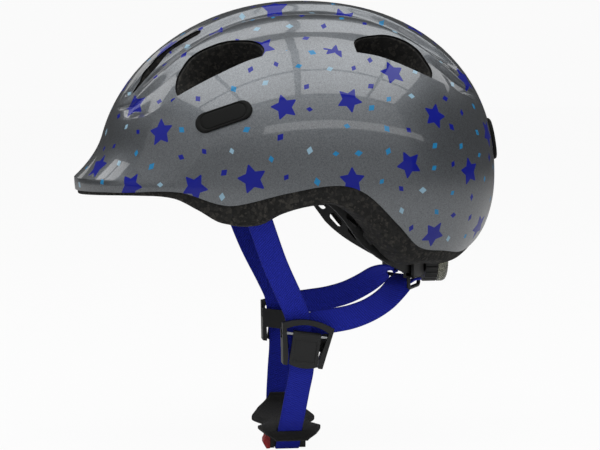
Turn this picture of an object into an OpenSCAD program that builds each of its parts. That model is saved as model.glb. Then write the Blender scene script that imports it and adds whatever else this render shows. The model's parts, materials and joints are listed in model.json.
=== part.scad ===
// Child's bicycle helmet: in-mould shell and foam liner, side straps with dividers, chin buckle and
// pad, and a rear fit system with a dial and a light. The front is -Y, the wearer's left is +X.

/* [Dome] */
// Width of the shell from side to side
shell_width = 204; // [192:1:216]
// From the middle of the dome to its forehead
dome_front = 125; // [119:1:131]
// From the middle of the dome to its back
dome_rear = 122; // [116:1:128]
// Height of the crown over the widest level
dome_up = 107; // [102:1:113]
// Depth of the round below the widest level
dome_down = 88; // [82:1:96]
// Thickness of the outer shell
shell_wall = 1.2; // [0.8:0.1:2]
// Depth of the channels that run from front to rear
channel_depth = 4.5; // [2:0.5:6]

/* [Peak] */
// How far the peak stands out from the forehead
peak_out = 14; // [8:1:18]
// Level at which the forehead starts to sweep out into the peak
peak_top = 45; // [38:1:52]
// Height of the upright lip at the edge of the peak
lip_height = 7.5; // [5:0.5:10]
// Half the angle that the peak spans, seen from above
peak_span = 60; // [50:1:66]

/* [Head space] */
// Width of the hollow for the head
head_width = 154; // [148:1:158]
// From the middle of the dome to the front of the hollow
head_front = 96; // [92:1:99]
// From the middle of the dome to the back of the hollow
head_rear = 97; // [94:1:99]
// Height of the hollow over the widest level
head_up = 84; // [80:1:88]
// Thickness of the comfort pads
pad_thick = 5; // [3:0.5:7]

/* [Straps] */
// Width of the webbing
strap_width = 15; // [13:0.5:17]
// Thickness of the webbing
strap_thick = 1.5; // [1:0.1:2]
// Distance of each divider from the middle of the helmet
divider_x = 54; // [50:1:58]
// Width of a divider across its top bar
divider_width = 32; // [30:1:36]
// Height of a divider below its top bar
divider_height = 25; // [23:0.5:28]
// Thickness of the bars of a divider
divider_bar = 3; // [2.5:0.1:3.5]
// Width of the clamp lever of a divider
lever_width = 17; // [15:0.5:19]
// Length of the clamp lever below its pin
lever_length = 20; // [14:0.5:21]
// Diameter of the lever pins
lever_pin = 2; // [1.6:0.1:2.4]

/* [Buckle] */
// Width of the buckle along the direction in which it slides open
buckle_width = 22; // [19:1:25]
// Height of the buckle
buckle_height = 9; // [8:0.5:10]
// Depth of the red tab in front of the buckle
tab_depth = 4; // [3:0.5:5]

/* [Fit system] */
// Distance of each temple pin from the middle
temple_x = 73; // [70:0.5:73.5]
// Radius of the rear of the ring round the middle of the head
ring_radius = 75; // [73:0.5:76]
// Thickness of the ring band
band_thick = 1.6; // [1.2:0.1:2]
// Height of the ring band at the temples
band_height = 14; // [12:0.5:16]
// Diameter of the fit dial
dial_diameter = 30; // [28:1:36]
// Length of the dial along its axis
dial_length = 8; // [7.5:0.5:10]
// Thickness of the lens from its rim to its crown
lens_depth = 5.5; // [4:0.5:8]
// How far the lens moves when it is pressed
press_travel = 0.8; // [0.5:0.1:1]

/* [Hidden] */

$fn = 48;
tiny = 0.01;
over = 1;

// Middle of the dome, from which its surface is measured
dome_mid = [0, 5, 20];
// Gap between pieces that lie against each other
seat = 0.1;
// Gap between pieces that move past each other
slip = 0.3;

// Outlines: heights of edges against the angle from the front, with the rear at 180
shell_rim = [[0, 11.5], [27, 13], [45, 14.5], [57, 8], [63, 7.5], [80, 15], [96, 19], [105, 14],
    [117, -5], [127, -19], [140, -23], [152, -25], [160, -20], [168, -10.5], [180, -8]];
foam_rim = [[0, 9], [32, 11.5], [43, 10.5], [50, 4], [57, -3.5], [68, -4], [77, 3], [87, 7.5],
    [96, 8], [106, -2], [118, -19], [128, -28], [140, -29.5], [153, -31], [160, -26], [167, -15],
    [180, -12.5]];
// Elevation from the middle of the dome of the sharp outer edge of each channel
crease = [[0, 16.5], [27, 18.6], [37, 25.4], [50, 34.3], [64, 41.9], [83, 46.1], [115, 42.5],
    [137, 31.3], [149, 25.3], [180, 16]];
// Elevation of the rounded crest that divides each channel into a wide floor and a groove
crest = [[0, 20], [10.6, 21], [16, 22.5], [19, 26], [23, 33], [27, 42], [32, 50], [42, 58.5],
    [60, 63.5], [85, 65], [115, 63], [133, 57.5], [142, 49], [148, 40], [153, 32], [158, 26.5],
    [180, 21]];
// Elevation of the edge of the middle ridge, beside the groove
ridge = [[0, 24.5], [10.6, 26], [11.4, 30], [12.2, 36.5], [13.6, 41.5], [15.6, 46.5], [18, 53],
    [22, 61], [28, 68.5], [40, 75], [60, 78.5], [88, 79.5], [118, 78.5], [137, 74], [144, 68],
    [148, 60], [151, 52], [155, 44.5], [159, 37], [164, 30], [180, 25]];

function clamp01(t) = min(1, max(0, t));
function ease(t) = let(c = clamp01(t)) c * c * (3 - 2 * c);
function mix(a, b, t) = a + (b - a) * t;
function unit(v) = v / norm(v);
function fold(u) = let(m = (u % 360 + 360) % 360) m > 180 ? 360 - m : m;

// Smooth curve through a list of [place, value] pairs, level at both ends
function span(p, x, i = 0) = (i >= len(p) - 2 || x < p[i + 1][0]) ? i : span(p, x, i + 1);
function slope(p, i) = (i == 0 || i == len(p) - 1) ? 0
    : (p[i + 1][1] - p[i - 1][1]) / (p[i + 1][0] - p[i - 1][0]);
function along(p, x) = let(i = span(p, x), w = p[i + 1][0] - p[i][0], t = (x - p[i][0]) / w)
    (2 * t ^ 3 - 3 * t ^ 2 + 1) * p[i][1] + (t ^ 3 - 2 * t ^ 2 + t) * w * slope(p, i)
    + (3 * t ^ 2 - 2 * t ^ 3) * p[i + 1][1] + (t ^ 3 - t ^ 2) * w * slope(p, i + 1);

// Smooth curve through points, in steps between each two
function bend(a, b, c, d, t) = 0.5 * (2 * b + (c - a) * t + (2 * a - 5 * b + 4 * c - d) * t ^ 2
    + (3 * b - a - 3 * c + d) * t ^ 3);
function smooth(p, steps) = let(n = len(p) - 1) concat([for (i = [0:n - 1], k = [0:steps - 1])
    bend(p[max(i - 1, 0)], p[i], p[i + 1], p[min(i + 2, n)], k / steps)], [p[n]]);
function smooth_loop(p, steps) = let(n = len(p)) [for (i = [0:n - 1], k = [0:steps - 1])
    bend(p[(i + n - 1) % n], p[i], p[(i + 1) % n], p[(i + 2) % n], k / steps)];

// The dome: a rounded form, fuller behind than in front, with u the angle from the front
// and v the elevation, both from its middle
function heading(u, v) = [sin(u) * cos(v), -cos(u) * cos(v), sin(v)];
function fullness(u) = 2 + 0.2 * ease((1 - cos(u)) / 1.2);
function reach(u, v, half) = let(n = fullness(u), d = heading(u, v),
    length = d[1] < 0 ? half[1] : half[2], height = d[2] < 0 ? half[4] : half[3])
    ((abs(d[0]) / half[0]) ^ n + (abs(d[1]) / length) ^ n + (abs(d[2]) / height) ^ n) ^ (-1 / n);
dome_half = [shell_width / 2, dome_front, dome_rear, dome_up, dome_down];
// Room between the ring of the fit system and the hollow, at its sides and behind
ring_room = [2, 22];
head_drop = 105;
head_half = [max(head_width / 2, ring_radius + ring_room[0]), head_front,
    max(head_rear, ring_radius + ring_room[1]), head_up, head_drop];
function dome(u, v) = reach(u, v, dome_half);
function level(u, z, tries = 5, v = 0) = tries == 0 ? v
    : level(u, z, tries - 1, asin((z - dome_mid[2]) / dome(u, v)));

// Channel depth: none on the middle line, full on the floor beside the vents and in the groove.
// The form of one section lists places from the crease to the middle ridge, with their depths.
edge_outer = 2.5;
crest_depth = 0.35;
floor_share = 0.55;
groove_share = 0.65;
function channel_form(f) = let(low = along(crease, f), mid = along(crest, f), high = along(ridge, f))
    [[low, 0], [low + edge_outer, 1], [mix(low + edge_outer, mid, floor_share), 1], [mid, crest_depth],
        [mix(mid, high, groove_share), 1], [high, 0]];
function channel(u, v) = let(f = fold(u)) channel_depth * ease((f - 8) / 9)
    * ease((162 - f) / 12) * lookup(v, channel_form(f));
// The peak sweeps out in a curve down to the crease over its lip
function sweep(u, z) = let(t = clamp01((peak_top - z) / (peak_top - along(shell_rim, 0) - lip_height)))
    peak_out * ease((peak_span - fold(u)) / peak_span * 1.05) * t ^ 2;
function skin(u, v, inset) = let(r = dome(u, v) - channel(u, v) - inset, p = r * heading(u, v))
    dome_mid + p + sweep(u, p[2] + dome_mid[2]) * [sin(u), -cos(u), 0];
function hollow(u, v, inset) = dome_mid + (reach(u, v, head_half) - inset) * heading(u, v);

// Rows of the skin from the rim to the crown: they follow the lip and the form of the channel
columns = 72;
side_rows = 6;
crown_rows = 2;
function row_levels(u) = let(f = fold(u), rim = level(u, along(shell_rim, f)),
    lip = level(u, along(shell_rim, f) + lip_height), form = channel_form(f), high = form[5][0])
    concat([rim], [for (k = [0:side_rows - 1]) mix(lip, form[0][0], k / side_rows)],
    [for (place = form) place[0]], [for (k = [1:crown_rows]) mix(high, 90, k / (crown_rows + 1))]);
skin_rows = len(row_levels(0));
function skin_ring(row, inset) = [for (c = [0:columns - 1]) let(u = c * 360 / columns)
    skin(u, row_levels(u)[row], inset)];

// A closed solid from rings of points, with a point at each end. Rows before the one named in
// crossed split their quads the other way, so that two skins that face each other match.
module stack(first, rings, last, crossed = 0) {
    n = len(rings[0]);
    rows = len(rings);
    points = concat([first], [for (r = rings) for (p = r) p], [last]);
    end = len(points) - 1;
    polyhedron(points, concat(
        [for (i = [0:n - 1]) [0, 1 + i, 1 + (i + 1) % n]],
        [for (r = [0:rows - 2], i = [0:n - 1]) let(a = 1 + r * n, j = (i + 1) % n)
            r < crossed ? [a + i, a + n + i, a + n + j] : [a + i, a + n + i, a + j]],
        [for (r = [0:rows - 2], i = [0:n - 1]) let(a = 1 + r * n, j = (i + 1) % n)
            r < crossed ? [a + i, a + n + j, a + j] : [a + j, a + n + i, a + n + j]],
        [for (i = [0:n - 1]) let(a = 1 + (rows - 1) * n) [end, a + (i + 1) % n, a + i]]));
}

// A closed solid from rings of points, with flat ends. The second half of each ring runs back
// beside the first half.
module loft(rings) {
    n = len(rings[0]);
    rows = len(rings);
    last = (rows - 1) * n;
    polyhedron([for (r = rings) for (p = r) p], concat(
        [for (i = [0:n / 2 - 2]) [i, i + 1, n - 2 - i]],
        [for (i = [0:n / 2 - 2]) [i, n - 2 - i, n - 1 - i]],
        [for (r = [0:rows - 2], i = [0:n - 1]) let(a = r * n, j = (i + 1) % n)
            [a + i, a + n + i, a + j]],
        [for (r = [0:rows - 2], i = [0:n - 1]) let(a = r * n, j = (i + 1) % n)
            [a + j, a + n + i, a + n + j]],
        [for (i = [0:n / 2 - 2]) [last + i, last + n - 2 - i, last + i + 1]],
        [for (i = [0:n / 2 - 2]) [last + i, last + n - 1 - i, last + n - 2 - i]]));
}

// Vents, as outlines of [angle, elevation]: their lower edges run along the crease
crease_gap = 0.6;
function on_crease(angles) = [for (u = angles) [u, along(crease, u) + crease_gap]];
front_vent = concat([[36.3, 26.8], [32.5, 30], [29.8, 35.8], [30.5, 41.6], [35, 46.6], [43, 51],
    [54, 52.6], [61.5, 51.4], [66, 47.8]], on_crease([63.5, 55, 47, 40]));
rear_vent = concat([[111.3, 47.5], [113, 51.3], [119, 53], [127, 53], [135, 51.4], [141.5, 46.8],
    [144.6, 40.5], [143, 34.5]], on_crease([137, 128, 119, 112]));
slit_vent = [[12.8, 25.8], [12.2, 29], [12, 33], [12.4, 37], [13.3, 41], [14.8, 45.2], [16.6, 49.2],
    [19, 53], [20, 52.4], [18.4, 49], [16.8, 45.2], [15.4, 41], [14.5, 37], [14, 33], [13.8, 29],
    [13.6, 26.4]];
vents = [front_vent, rear_vent, slit_vent];
vent_inner = 50;
vent_outer = 150;

// One vent, cut by wedges that fan out from the middle of its outline
module vent(outline, grow) {
    mid = [for (k = [0, 1]) [for (p = outline) p[k]] * [for (p = outline) 1] / len(outline)];
    ring = smooth_loop([for (p = outline) mid + (p - mid) * grow], 2);
    for (i = [0:len(ring) - 1]) {
        corners = [mid, ring[i], ring[(i + 1) % len(ring)]];
        hull() polyhedron([for (r = [vent_inner, vent_outer], c = corners)
            dome_mid + r * heading(c[0], c[1])], [[0, 1, 2], [3, 5, 4]]);
    }
}

module all_vents(grow) {
    for (v = vents) {
        vent(v, grow);
        mirror([1, 0, 0]) vent(v, grow);
    }
}

module outer_shell() color("slategray") difference() {
    stack(skin(0, 90, shell_wall),
        concat([for (r = [skin_rows - 1:-1:0]) skin_ring(r, shell_wall)],
            [for (r = [0:skin_rows - 1]) skin_ring(r, 0)]), skin(0, 90, 0), skin_rows);
    all_vents(1);
}

// The foam fills the space from the shell to the hollow, and ends in a rounded edge below
foam_inset = shell_wall + seat;
hollow_levels = [90, 79, 68, 57, 46, 35, 24, 13, 3];
rim_round = 4;
function foam_level(u) = level(u, along(foam_rim, fold(u)));
function hollow_foot(u) = let(z = along(foam_rim, fold(u)) + rim_round / 2)
    asin((z - dome_mid[2]) / reach(u, -10, head_half));
function foam_foot(u) = skin(u, foam_level(u), foam_inset);
function foam_below(u, share) = mix(hollow(u, hollow_foot(u), 0), foam_foot(u), share)
    - [0, 0, rim_round * 2 * share * (1 - share) * (fold(u) < peak_span ? 0.6 : 1)];
function foam_ring(kind) = [for (c = [0:columns - 1]) let(u = c * 360 / columns)
    kind == "foot" ? foam_foot(u) : kind == "hollow_foot" ? hollow(u, hollow_foot(u), 0)
    : foam_below(u, kind)];

module eps_liner() color("dimgray") difference() {
    stack(hollow(0, 90, 0), concat(
        [for (k = [1:len(hollow_levels) - 1])
            [for (c = [0:columns - 1]) hollow(c * 360 / columns, hollow_levels[k], 0)]],
        [foam_ring("hollow_foot"), foam_ring(0.3), foam_ring(0.75), foam_ring("foot")],
        [for (r = [0:skin_rows - 1]) skin_ring(r, foam_inset)]), skin(0, 90, foam_inset));
    all_vents(0.95);
    for (side = [0, 1]) mirror([side, 0, 0]) anchor_slot();
}

// Badges and pads: patches that lie on a curved surface, with a rounded upper face
patch_rings = [[0, 1], [0.3, 1], [0.6, 1], [0.85, 0.95], [0.96, 0.7], [1, 0.35]];
badge_seat = 0.35;
// Room for the flats of the hollow behind a pad
pad_seat = 0.8;
// Outline with round ends: n steps round each end, and the given steps along each side
function stadium(length, width, n, steps) = let(run = length - width, r = width / 2) concat(
    [for (k = [0:n]) [run / 2 + r * sin(180 * k / n), -r * cos(180 * k / n)]],
    [for (k = [1:steps - 1]) [run / 2 - run * k / steps, r]],
    [for (k = [0:n]) [-run / 2 - r * sin(180 * k / n), r * cos(180 * k / n)]],
    [for (k = [1:steps - 1]) [-run / 2 + run * k / steps, -r]]);
function turned(p, a) = [p[0] * cos(a) - p[1] * sin(a), p[0] * sin(a) + p[1] * cos(a)];
function placed(p, at, r) = [at[0] + p[0] / (r * cos(at[1])) * 180 / PI, at[1] + p[1] / r * 180 / PI];

module badge(at, outline, height) {
    r = dome(at[0], at[1]);
    // Point at a share of the outline, at a height over the skin
    function spot(p, share, lift) = let(q = placed(p * share, at, r)) skin(q[0], q[1], -lift);
    rings = concat(
        [for (k = [1:len(patch_rings) - 1]) [for (p = outline)
            spot(p, patch_rings[k][0], badge_seat)]],
        [for (k = [len(patch_rings) - 1:-1:1]) [for (p = outline)
            spot(p, patch_rings[k][0], badge_seat + height * patch_rings[k][1])]]);
    stack(spot([0, 0], 0, badge_seat), rings, spot([0, 0], 0, badge_seat + height));
}

side_badge_at = [57.6, 20.9];
side_badge_size = [35, 12];
side_badge_turn = 23;
module side_badge_left() color("black")
    badge(side_badge_at, [for (p = stadium(side_badge_size[0], side_badge_size[1], 6, 6))
        turned(p, side_badge_turn)], 1.6);
module side_badge_right() mirror([1, 0, 0]) side_badge_left();

rear_badge_at = [180, 10];
rear_badge_size = [46, 26];
module rear_badge() color("black")
    badge(rear_badge_at, [for (t = [0:12:348]) let(c = cos(t), s = sin(t))
        [sign(c) * rear_badge_size[0] / 2 * abs(c) ^ 0.5,
            sign(s) * rear_badge_size[1] / 2 * abs(s) ^ 0.5]], 1.8);

// Angle and elevation of a place on the crown, from its lean forward and its lean sideways
function crown_place(back, side) = let(d = [sin(side), cos(side) * sin(back), cos(side) * cos(back)])
    [atan2(d[0], -d[1]), asin(d[2])];
// A pad under the hollow, crowned in the middle and drawn in at its sides
module pad(from, to, bow, on_crown = false) {
    n = 12;
    m = 6;
    function spot(i, k, depth) = let(s = 2 * i / n - 1, t = 2 * k / m - 1,
        pinch = 1 - 0.08 * (1 - abs(s)) , u = mix(from[0], to[0], i / n),
        v = mix(from[1], to[1], 0.5 + (k / m - 0.5) * (1 - bow * s * s) * pinch),
        crown = (1 - s ^ 6) * (1 - t ^ 4), place = on_crown ? crown_place(u, v) : [u, v])
        hollow(place[0], place[1], pad_seat + depth * (0.25 + 0.75 * crown));
    loft([for (i = [0:n]) concat([for (k = [m:-1:0]) spot(i, k, 0)],
        [for (k = [0:m]) spot(i, k, pad_thick)])]);
}
module brow_pad() color("black") pad([-44, 4], [44, 19], 0.4);
module crown_pad() color("black") pad([-34, -12], [34, 12], 0.3, true);
module side_pad_left() color("black") pad([66, 26], [122, 38], 0.35);
module side_pad_right() mirror([1, 0, 0]) side_pad_left();

// Webbing: a flat ribbon along a route of [point, direction of its width]
function across(path, widths, i) = let(n = len(path) - 1,
    t = unit(path[min(i + 1, n)] - path[max(i - 1, 0)]), w = widths[i] - (widths[i] * t) * t)
    [t, unit(w)];
module ribbon(route, steps, width, thick) {
    path = smooth([for (r = route) r[0]], steps);
    widths = smooth([for (r = route) r[1]], steps);
    loft([for (i = [0:len(path) - 1]) let(a = across(path, widths, i),
        w = a[1] * width / 2, d = cross(a[0], a[1]) * thick / 2)
        [path[i] - w - d, path[i] + w - d, path[i] + w + d, path[i] - w + d]]);
}

// Routes on the wearer's left; the right side mirrors them down to the chin
down_front = [0, 0.92, 0.39];
down_side = [0, 1, 0];
strap_x = divider_x - 0.8;
strap_top = [shell_width / 2 - 25.5, -30.5, 4];
front_route = [[strap_top, down_front], [strap_top + [-1, 3.5, -9], down_front],
    [[67, -17.5, -30], down_front], [[57, -7, -52], down_front], [[strap_x, -2.2, -64], [0, 0.97, 0.2]],
    [[strap_x, -0.6, -79], [0, 1, -0.05]], [[strap_x - 0.6, 0.4, -94], [0, 1, -0.04]]];
left_lower = [[[46, -1.4, -110], down_side], [[37, -3.2, -127], down_side],
    [[31.5, -3.8, -134], down_side], [[27.5, -4.1, -139.5], down_side]];
right_lower = [[[46, -1.4, -110], down_side], [[38.5, -3.2, -127], down_side],
    [[29, -4.2, -138], down_side], [[22, -4.5, -144], down_side], [[18, -4.5, -147.4], down_side],
    [[14.8, -4.5, -148.3], down_side], [[12.6, -4.5, -147.2], down_side],
    [[11.9, -4.5, -144.5], down_side]];
module front_strap_left() color("mediumblue")
    ribbon(concat(front_route, left_lower), 3, strap_width, strap_thick);
module front_strap_right() color("mediumblue") mirror([1, 0, 0])
    ribbon(concat(front_route, right_lower), 3, strap_width, strap_thick);

// The last stretch of the left strap, which gives way when the buckle slides
end_route = [[[27.3, -4.1, -139.9], down_side], [[25.3, -4.3, -144], down_side],
    [[22.6, -4.5, -148], down_side], [[19.8, -4.5, -149.2], down_side],
    [[17.4, -4.5, -148.4], down_side], [[16.7, -4.5, -145.6], down_side]];
module strap_end_left() color("mediumblue") ribbon(end_route, 2, strap_width, strap_thick);

// Rear strap, from behind the divider to the loop of the cradle
loop_angle = 64;
loop_across = [-sin(loop_angle), cos(loop_angle), 0];
dial_axis = -33.7;
cradle_low = dial_axis - 8.5;
loop_at = [ring_radius * cos(loop_angle), dome_mid[1] + ring_radius * sin(loop_angle), cradle_low];
rear_route = [[[strap_x - 2.2, 1.5, -70], [0, -0.35, 1]], [[strap_x - 2.2, 10, -67.5], [0, -0.15, 1]],
    [[51, 19, -66.3], [0, 0, 1]], [[49.5, 31, -64.4], [0, -0.1, 1]], [[46, 43, -60.6], [-0.1, -0.25, 0.95]],
    [[41.5, 54, -54.4], [-0.35, -0.4, 0.8]], [loop_at + [0.4, -7.6, -3.4], [-0.87, 0.15, 0.2]],
    [loop_at + [0, -2, -2.4], loop_across], [loop_at + [-1, 2, -1.7], loop_across]];
module rear_strap_left() color("mediumblue") ribbon(rear_route, 3, strap_width, strap_thick);
module rear_strap_right() mirror([1, 0, 0]) rear_strap_left();

// Each front strap ends on an anchor plug in a slot of the foam
anchor_size = [5, 18, 6];
anchor_lean = 20;
module anchor_frame() translate(strap_top) rotate([anchor_lean, 0, 0]) children();
module anchor_slot() anchor_frame() union() {
    translate([-anchor_size[0] / 2 - seat, -anchor_size[1] / 2 - seat, 0])
        cube([anchor_size[0] + 2 * seat, anchor_size[1] + 2 * seat, anchor_size[2] + 0.7 + seat]);
    translate([-strap_thick - 2, -strap_width / 2 - 0.5, -20])
        cube([2 * strap_thick + 2.6, strap_width + 1, 20 + over]);
}
module strap_anchor_left() color("black") anchor_frame()
    translate([-anchor_size[0] / 2, -anchor_size[1] / 2, 0.7]) cube(anchor_size);
module strap_anchor_right() mirror([1, 0, 0]) strap_anchor_left();

// Dividers, drawn upright about the middle of the top bar and then tilted
divider_at = [divider_x, 3.8, -68.4];
divider_tilt = -8;
divider_foot = divider_width - 8;
divider_arch = 3.5;
frame_depth = 5;
lever_face = frame_depth - 0.4;
plate_depth = 1.6;
plate_lift = 9;
frame_near = 0.1;
plate_far = strap_x - divider_x - 1.5 * strap_thick - 2.6 - plate_depth;
pin_drop = 6;
pin_x = 2.4;
barrel = 2.3;
module divider_frame_place() translate(divider_at) rotate([divider_tilt, 0, 0]) children();
// Draws a flat outline of [across, up] and gives it a thickness from one distance to another
module upright(from, to) translate([from, 0, 0]) rotate([90, 0, 90]) linear_extrude(to - from)
    children();
module divider_outline(inset) {
    top = divider_width / 2 - inset;
    foot = divider_foot / 2 - inset;
    polygon(concat([[-foot, -divider_height + inset], [foot, -divider_height + inset]],
        [for (k = [0:12]) let(t = 1 - 2 * k / 12)
            [top * t, divider_arch * (1 - t * t) - inset * 1.05]]));
}
module divider_frame_left() color("black") divider_frame_place() difference() {
    union() {
        upright(frame_near, lever_face) difference() {
            divider_outline(0);
            divider_outline(divider_bar);
        }
        // Back plate, against which the lever clamps the webbing
        upright(plate_far, plate_far + plate_depth) intersection() {
            divider_outline(0);
            translate([-divider_width / 2, plate_lift - divider_height])
                square([divider_width, divider_height - plate_lift - pin_drop + 2]);
        }
        // The legs reach back to the plate below the webbing's way out
        upright(plate_far + plate_depth / 2, frame_near + tiny) difference() {
            divider_outline(0);
            divider_outline(divider_bar * 0.8);
            translate([-divider_width, -pin_drop - 4]) square([2 * divider_width, divider_width]);
            translate([-lever_width / 2 - 1, -divider_height - 1]) square([lever_width + 2, 4]);
        }
    }
    translate([pin_x, 0, -pin_drop]) rotate([90, 0, 0])
        cylinder(d = lever_pin, h = divider_width, center = true);
    // Window below the lever pin for the end of the lever
    upright(frame_near - over, frame_depth) translate([-lever_width / 2 - 1, -divider_height - 1])
        square([lever_width + 2, divider_height - pin_drop]);
}
module divider_frame_right() mirror([1, 0, 0]) divider_frame_left();

pin_half = (divider_width - 1.6 * divider_bar) / 2;
module divider_pin_left() color("silver") divider_frame_place()
    translate([pin_x, 0, -pin_drop]) rotate([90, 0, 0])
        cylinder(d = lever_pin - 0.04, h = 2 * pin_half, center = true);
module divider_pin_right() mirror([1, 0, 0]) divider_pin_left();

lever_thick = 3.2;
module divider_lever_left() color("black") divider_frame_place() difference() {
    union() {
        translate([pin_x, 0, -pin_drop]) rotate([90, 0, 0])
            cylinder(r = barrel, h = lever_width, center = true);
        // Panel with a bowed lower edge
        upright(lever_face - lever_thick, lever_face) polygon(concat(
            [[-lever_width / 2, -pin_drop + barrel / 2], [lever_width / 2, -pin_drop + barrel / 2]],
            [for (k = [0:10]) let(t = 1 - 2 * k / 10)
                [lever_width / 2 * t, -pin_drop - lever_length + 1.6 * t * t]]));
    }
    translate([pin_x, 0, -pin_drop]) rotate([90, 0, 0])
        cylinder(d = lever_pin + 0.12, h = lever_width + 2, center = true);
    // Shallow recess for the finger
    upright(lever_face - 0.6, lever_face + over)
        translate([-lever_width / 2 + 1.8, -pin_drop - lever_length + 4])
            square([lever_width - 3.6, lever_length - 7]);
}
module divider_lever_right() mirror([1, 0, 0]) divider_lever_left();

// Buckle: a tongue with a T-shaped rail slides sideways out of the housing
buckle_back = 7;
buckle_front = buckle_back - buckle_width;
buckle_top = -140.5;
buckle_low = buckle_top - buckle_height;
buckle_mid = (buckle_top + buckle_low) / 2;
housing_x = [-11, 9];
tongue_x = [9.4, 21];
stop_wall = 2;
rail_head = [4, 5];
rail_neck = 3;
// Middle of the webbing where it meets the buckle
strap_mid = -4.5;
// Gives a flat outline of [x, z] a length along y
module slide_form(from, to) translate([0, to, 0]) rotate([90, 0, 0]) linear_extrude(to - from)
    children();
module rail(grow) {
    translate([housing_x[0] + 4.5 - grow, buckle_mid - rail_head[1] / 2 - grow])
        square([rail_head[0] + 2 * grow, rail_head[1] + 2 * grow]);
    translate([housing_x[0] + 4.5, buckle_mid - rail_neck / 2 - grow])
        square([tongue_x[0] - housing_x[0] - 4, rail_neck + 2 * grow]);
}
module rounded_block(x, low, high, r) translate([x[0] + r, low + r])
    offset(r) square([x[1] - x[0] - 2 * r, high - low - 2 * r]);
module buckle_housing() color("black") difference() {
    slide_form(buckle_front, buckle_back)
        rounded_block([housing_x[0] - 5, housing_x[1]], buckle_low, buckle_top, 1.6);
    slide_form(buckle_front - over, buckle_back - stop_wall) rail(slip);
    // Window and end bar, round which the webbing is looped
    slide_form(strap_mid - strap_width / 2 - 0.5, strap_mid + strap_width / 2 + 0.5) {
        translate([housing_x[0] - 2.8, buckle_low - over]) square([3.4, buckle_height + 2 * over]);
        translate([housing_x[0] - 6, buckle_low - over]) square([6, over + 2.8]);
        translate([housing_x[0] - 6, buckle_top - 3]) square([6, 3 + over]);
    }
    // Grip ribs along the lower face
    for (k = [0:3]) translate([housing_x[0] + 4, buckle_front + 1.5 + 2 * k, buckle_low - 1])
        cube([housing_x[1] - housing_x[0], 0.8, 1.5]);
    magnet_set(housing_magnet_x, 0.02);
}
module buckle_tongue() color("black") difference() {
    union() {
        slide_form(buckle_front, buckle_back - stop_wall - slip) rail(0);
        slide_form(buckle_front, buckle_back)
            rounded_block(tongue_x, buckle_low + 0.2, buckle_top, 1.4);
    }
    // Slot for the webbing, and room for it under the outer bar
    translate([tongue_x[1] - 6, strap_mid - strap_width / 2 - 0.5, buckle_low]) {
        cube([3.6, strap_width + 1, buckle_height + over]);
        cube([6 + over, strap_width + 1, 1.8]);
    }
    magnet_set(tongue_magnet_x, 0.02);
}
tab_gap = 0.05;
tab_x = [tongue_x[0] + 0.6, tongue_x[1] - 1];
// Slanted face of the tab, as a list of [y, z]
tab_face = [[buckle_front - tab_gap, buckle_top + 1], [buckle_front - tab_depth * 0.4, buckle_top + 1],
    [buckle_front - tab_depth, buckle_low + 5], [buckle_front - tab_depth, buckle_low + 3],
    [buckle_front - tab_depth * 0.6, buckle_low - 0.2], [buckle_front - tab_gap, buckle_low - 0.2]];
module release_tab() color("red") translate([tab_x[0], 0, 0]) rotate([90, 0, 90])
    linear_extrude(tab_x[1] - tab_x[0]) offset(0.6) offset(-0.6) polygon(tab_face);

// Magnets in the two halves draw the buckle shut
magnet_diameter = 2.4;
magnet_length = 3;
housing_magnet_x = housing_x[0] + 2.4;
tongue_magnet_x = housing_x[0] + 6.5;
module magnet_set(x, grow) for (y = [buckle_front + 5, buckle_back - 6])
    translate([x, y, buckle_mid]) cylinder(d = magnet_diameter + 2 * grow,
        h = magnet_length + 2 * grow, center = true);
module housing_magnets() color("silver") magnet_set(housing_magnet_x, 0);
module tongue_magnets() color("silver") magnet_set(tongue_magnet_x, 0);

// Chin pad: a winged strip under the chin, through which the left strap passes
pad_route = [[-34, -123.5], [-28.5, -130.5], [-17, -135.2], [-3, -136.8], [11, -136.8],
    [21, -136.6], [28.5, -138.6], [33, -142.5]];
chin_pad_thick = 5;
pad_centre = -3;
pad_half = [[0, 6], [0.2, 15.5], [0.34, 20], [0.5, 14.5], [0.66, 19.5], [0.86, 16], [1, 10]];
module pad_strip() {
    path = smooth(pad_route, 3);
    n = len(path) - 1;
    m = 6;
    // Point of one face of the strip, at step i along it and k across it
    function spot(i, k, face) = let(q = path[min(i + 1, n)] - path[max(i - 1, 0)],
        d = [-q[1], q[0]] / norm(q), t = 2 * k / m - 1, s = 2 * i / n - 1,
        h = chin_pad_thick / 2 * (0.3 + 0.7 * (1 - t ^ 4) * (1 - s ^ 8)))
        [path[i][0] + face * d[0] * h, pad_centre + along(pad_half, i / n) * t,
            path[i][1] + face * d[1] * h];
    loft([for (i = [0:n]) concat([for (k = [0:m]) spot(i, k, -1)],
        [for (k = [m:-1:0]) spot(i, k, 1)])]);
}
module chin_pad() color("black") difference() {
    pad_strip();
    // Slot for the strap
    translate([29, -4, -136.6]) rotate([0, 37, 0])
        cube([strap_thick + 1.6, strap_width + 1.4, 30], center = true);
}

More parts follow.
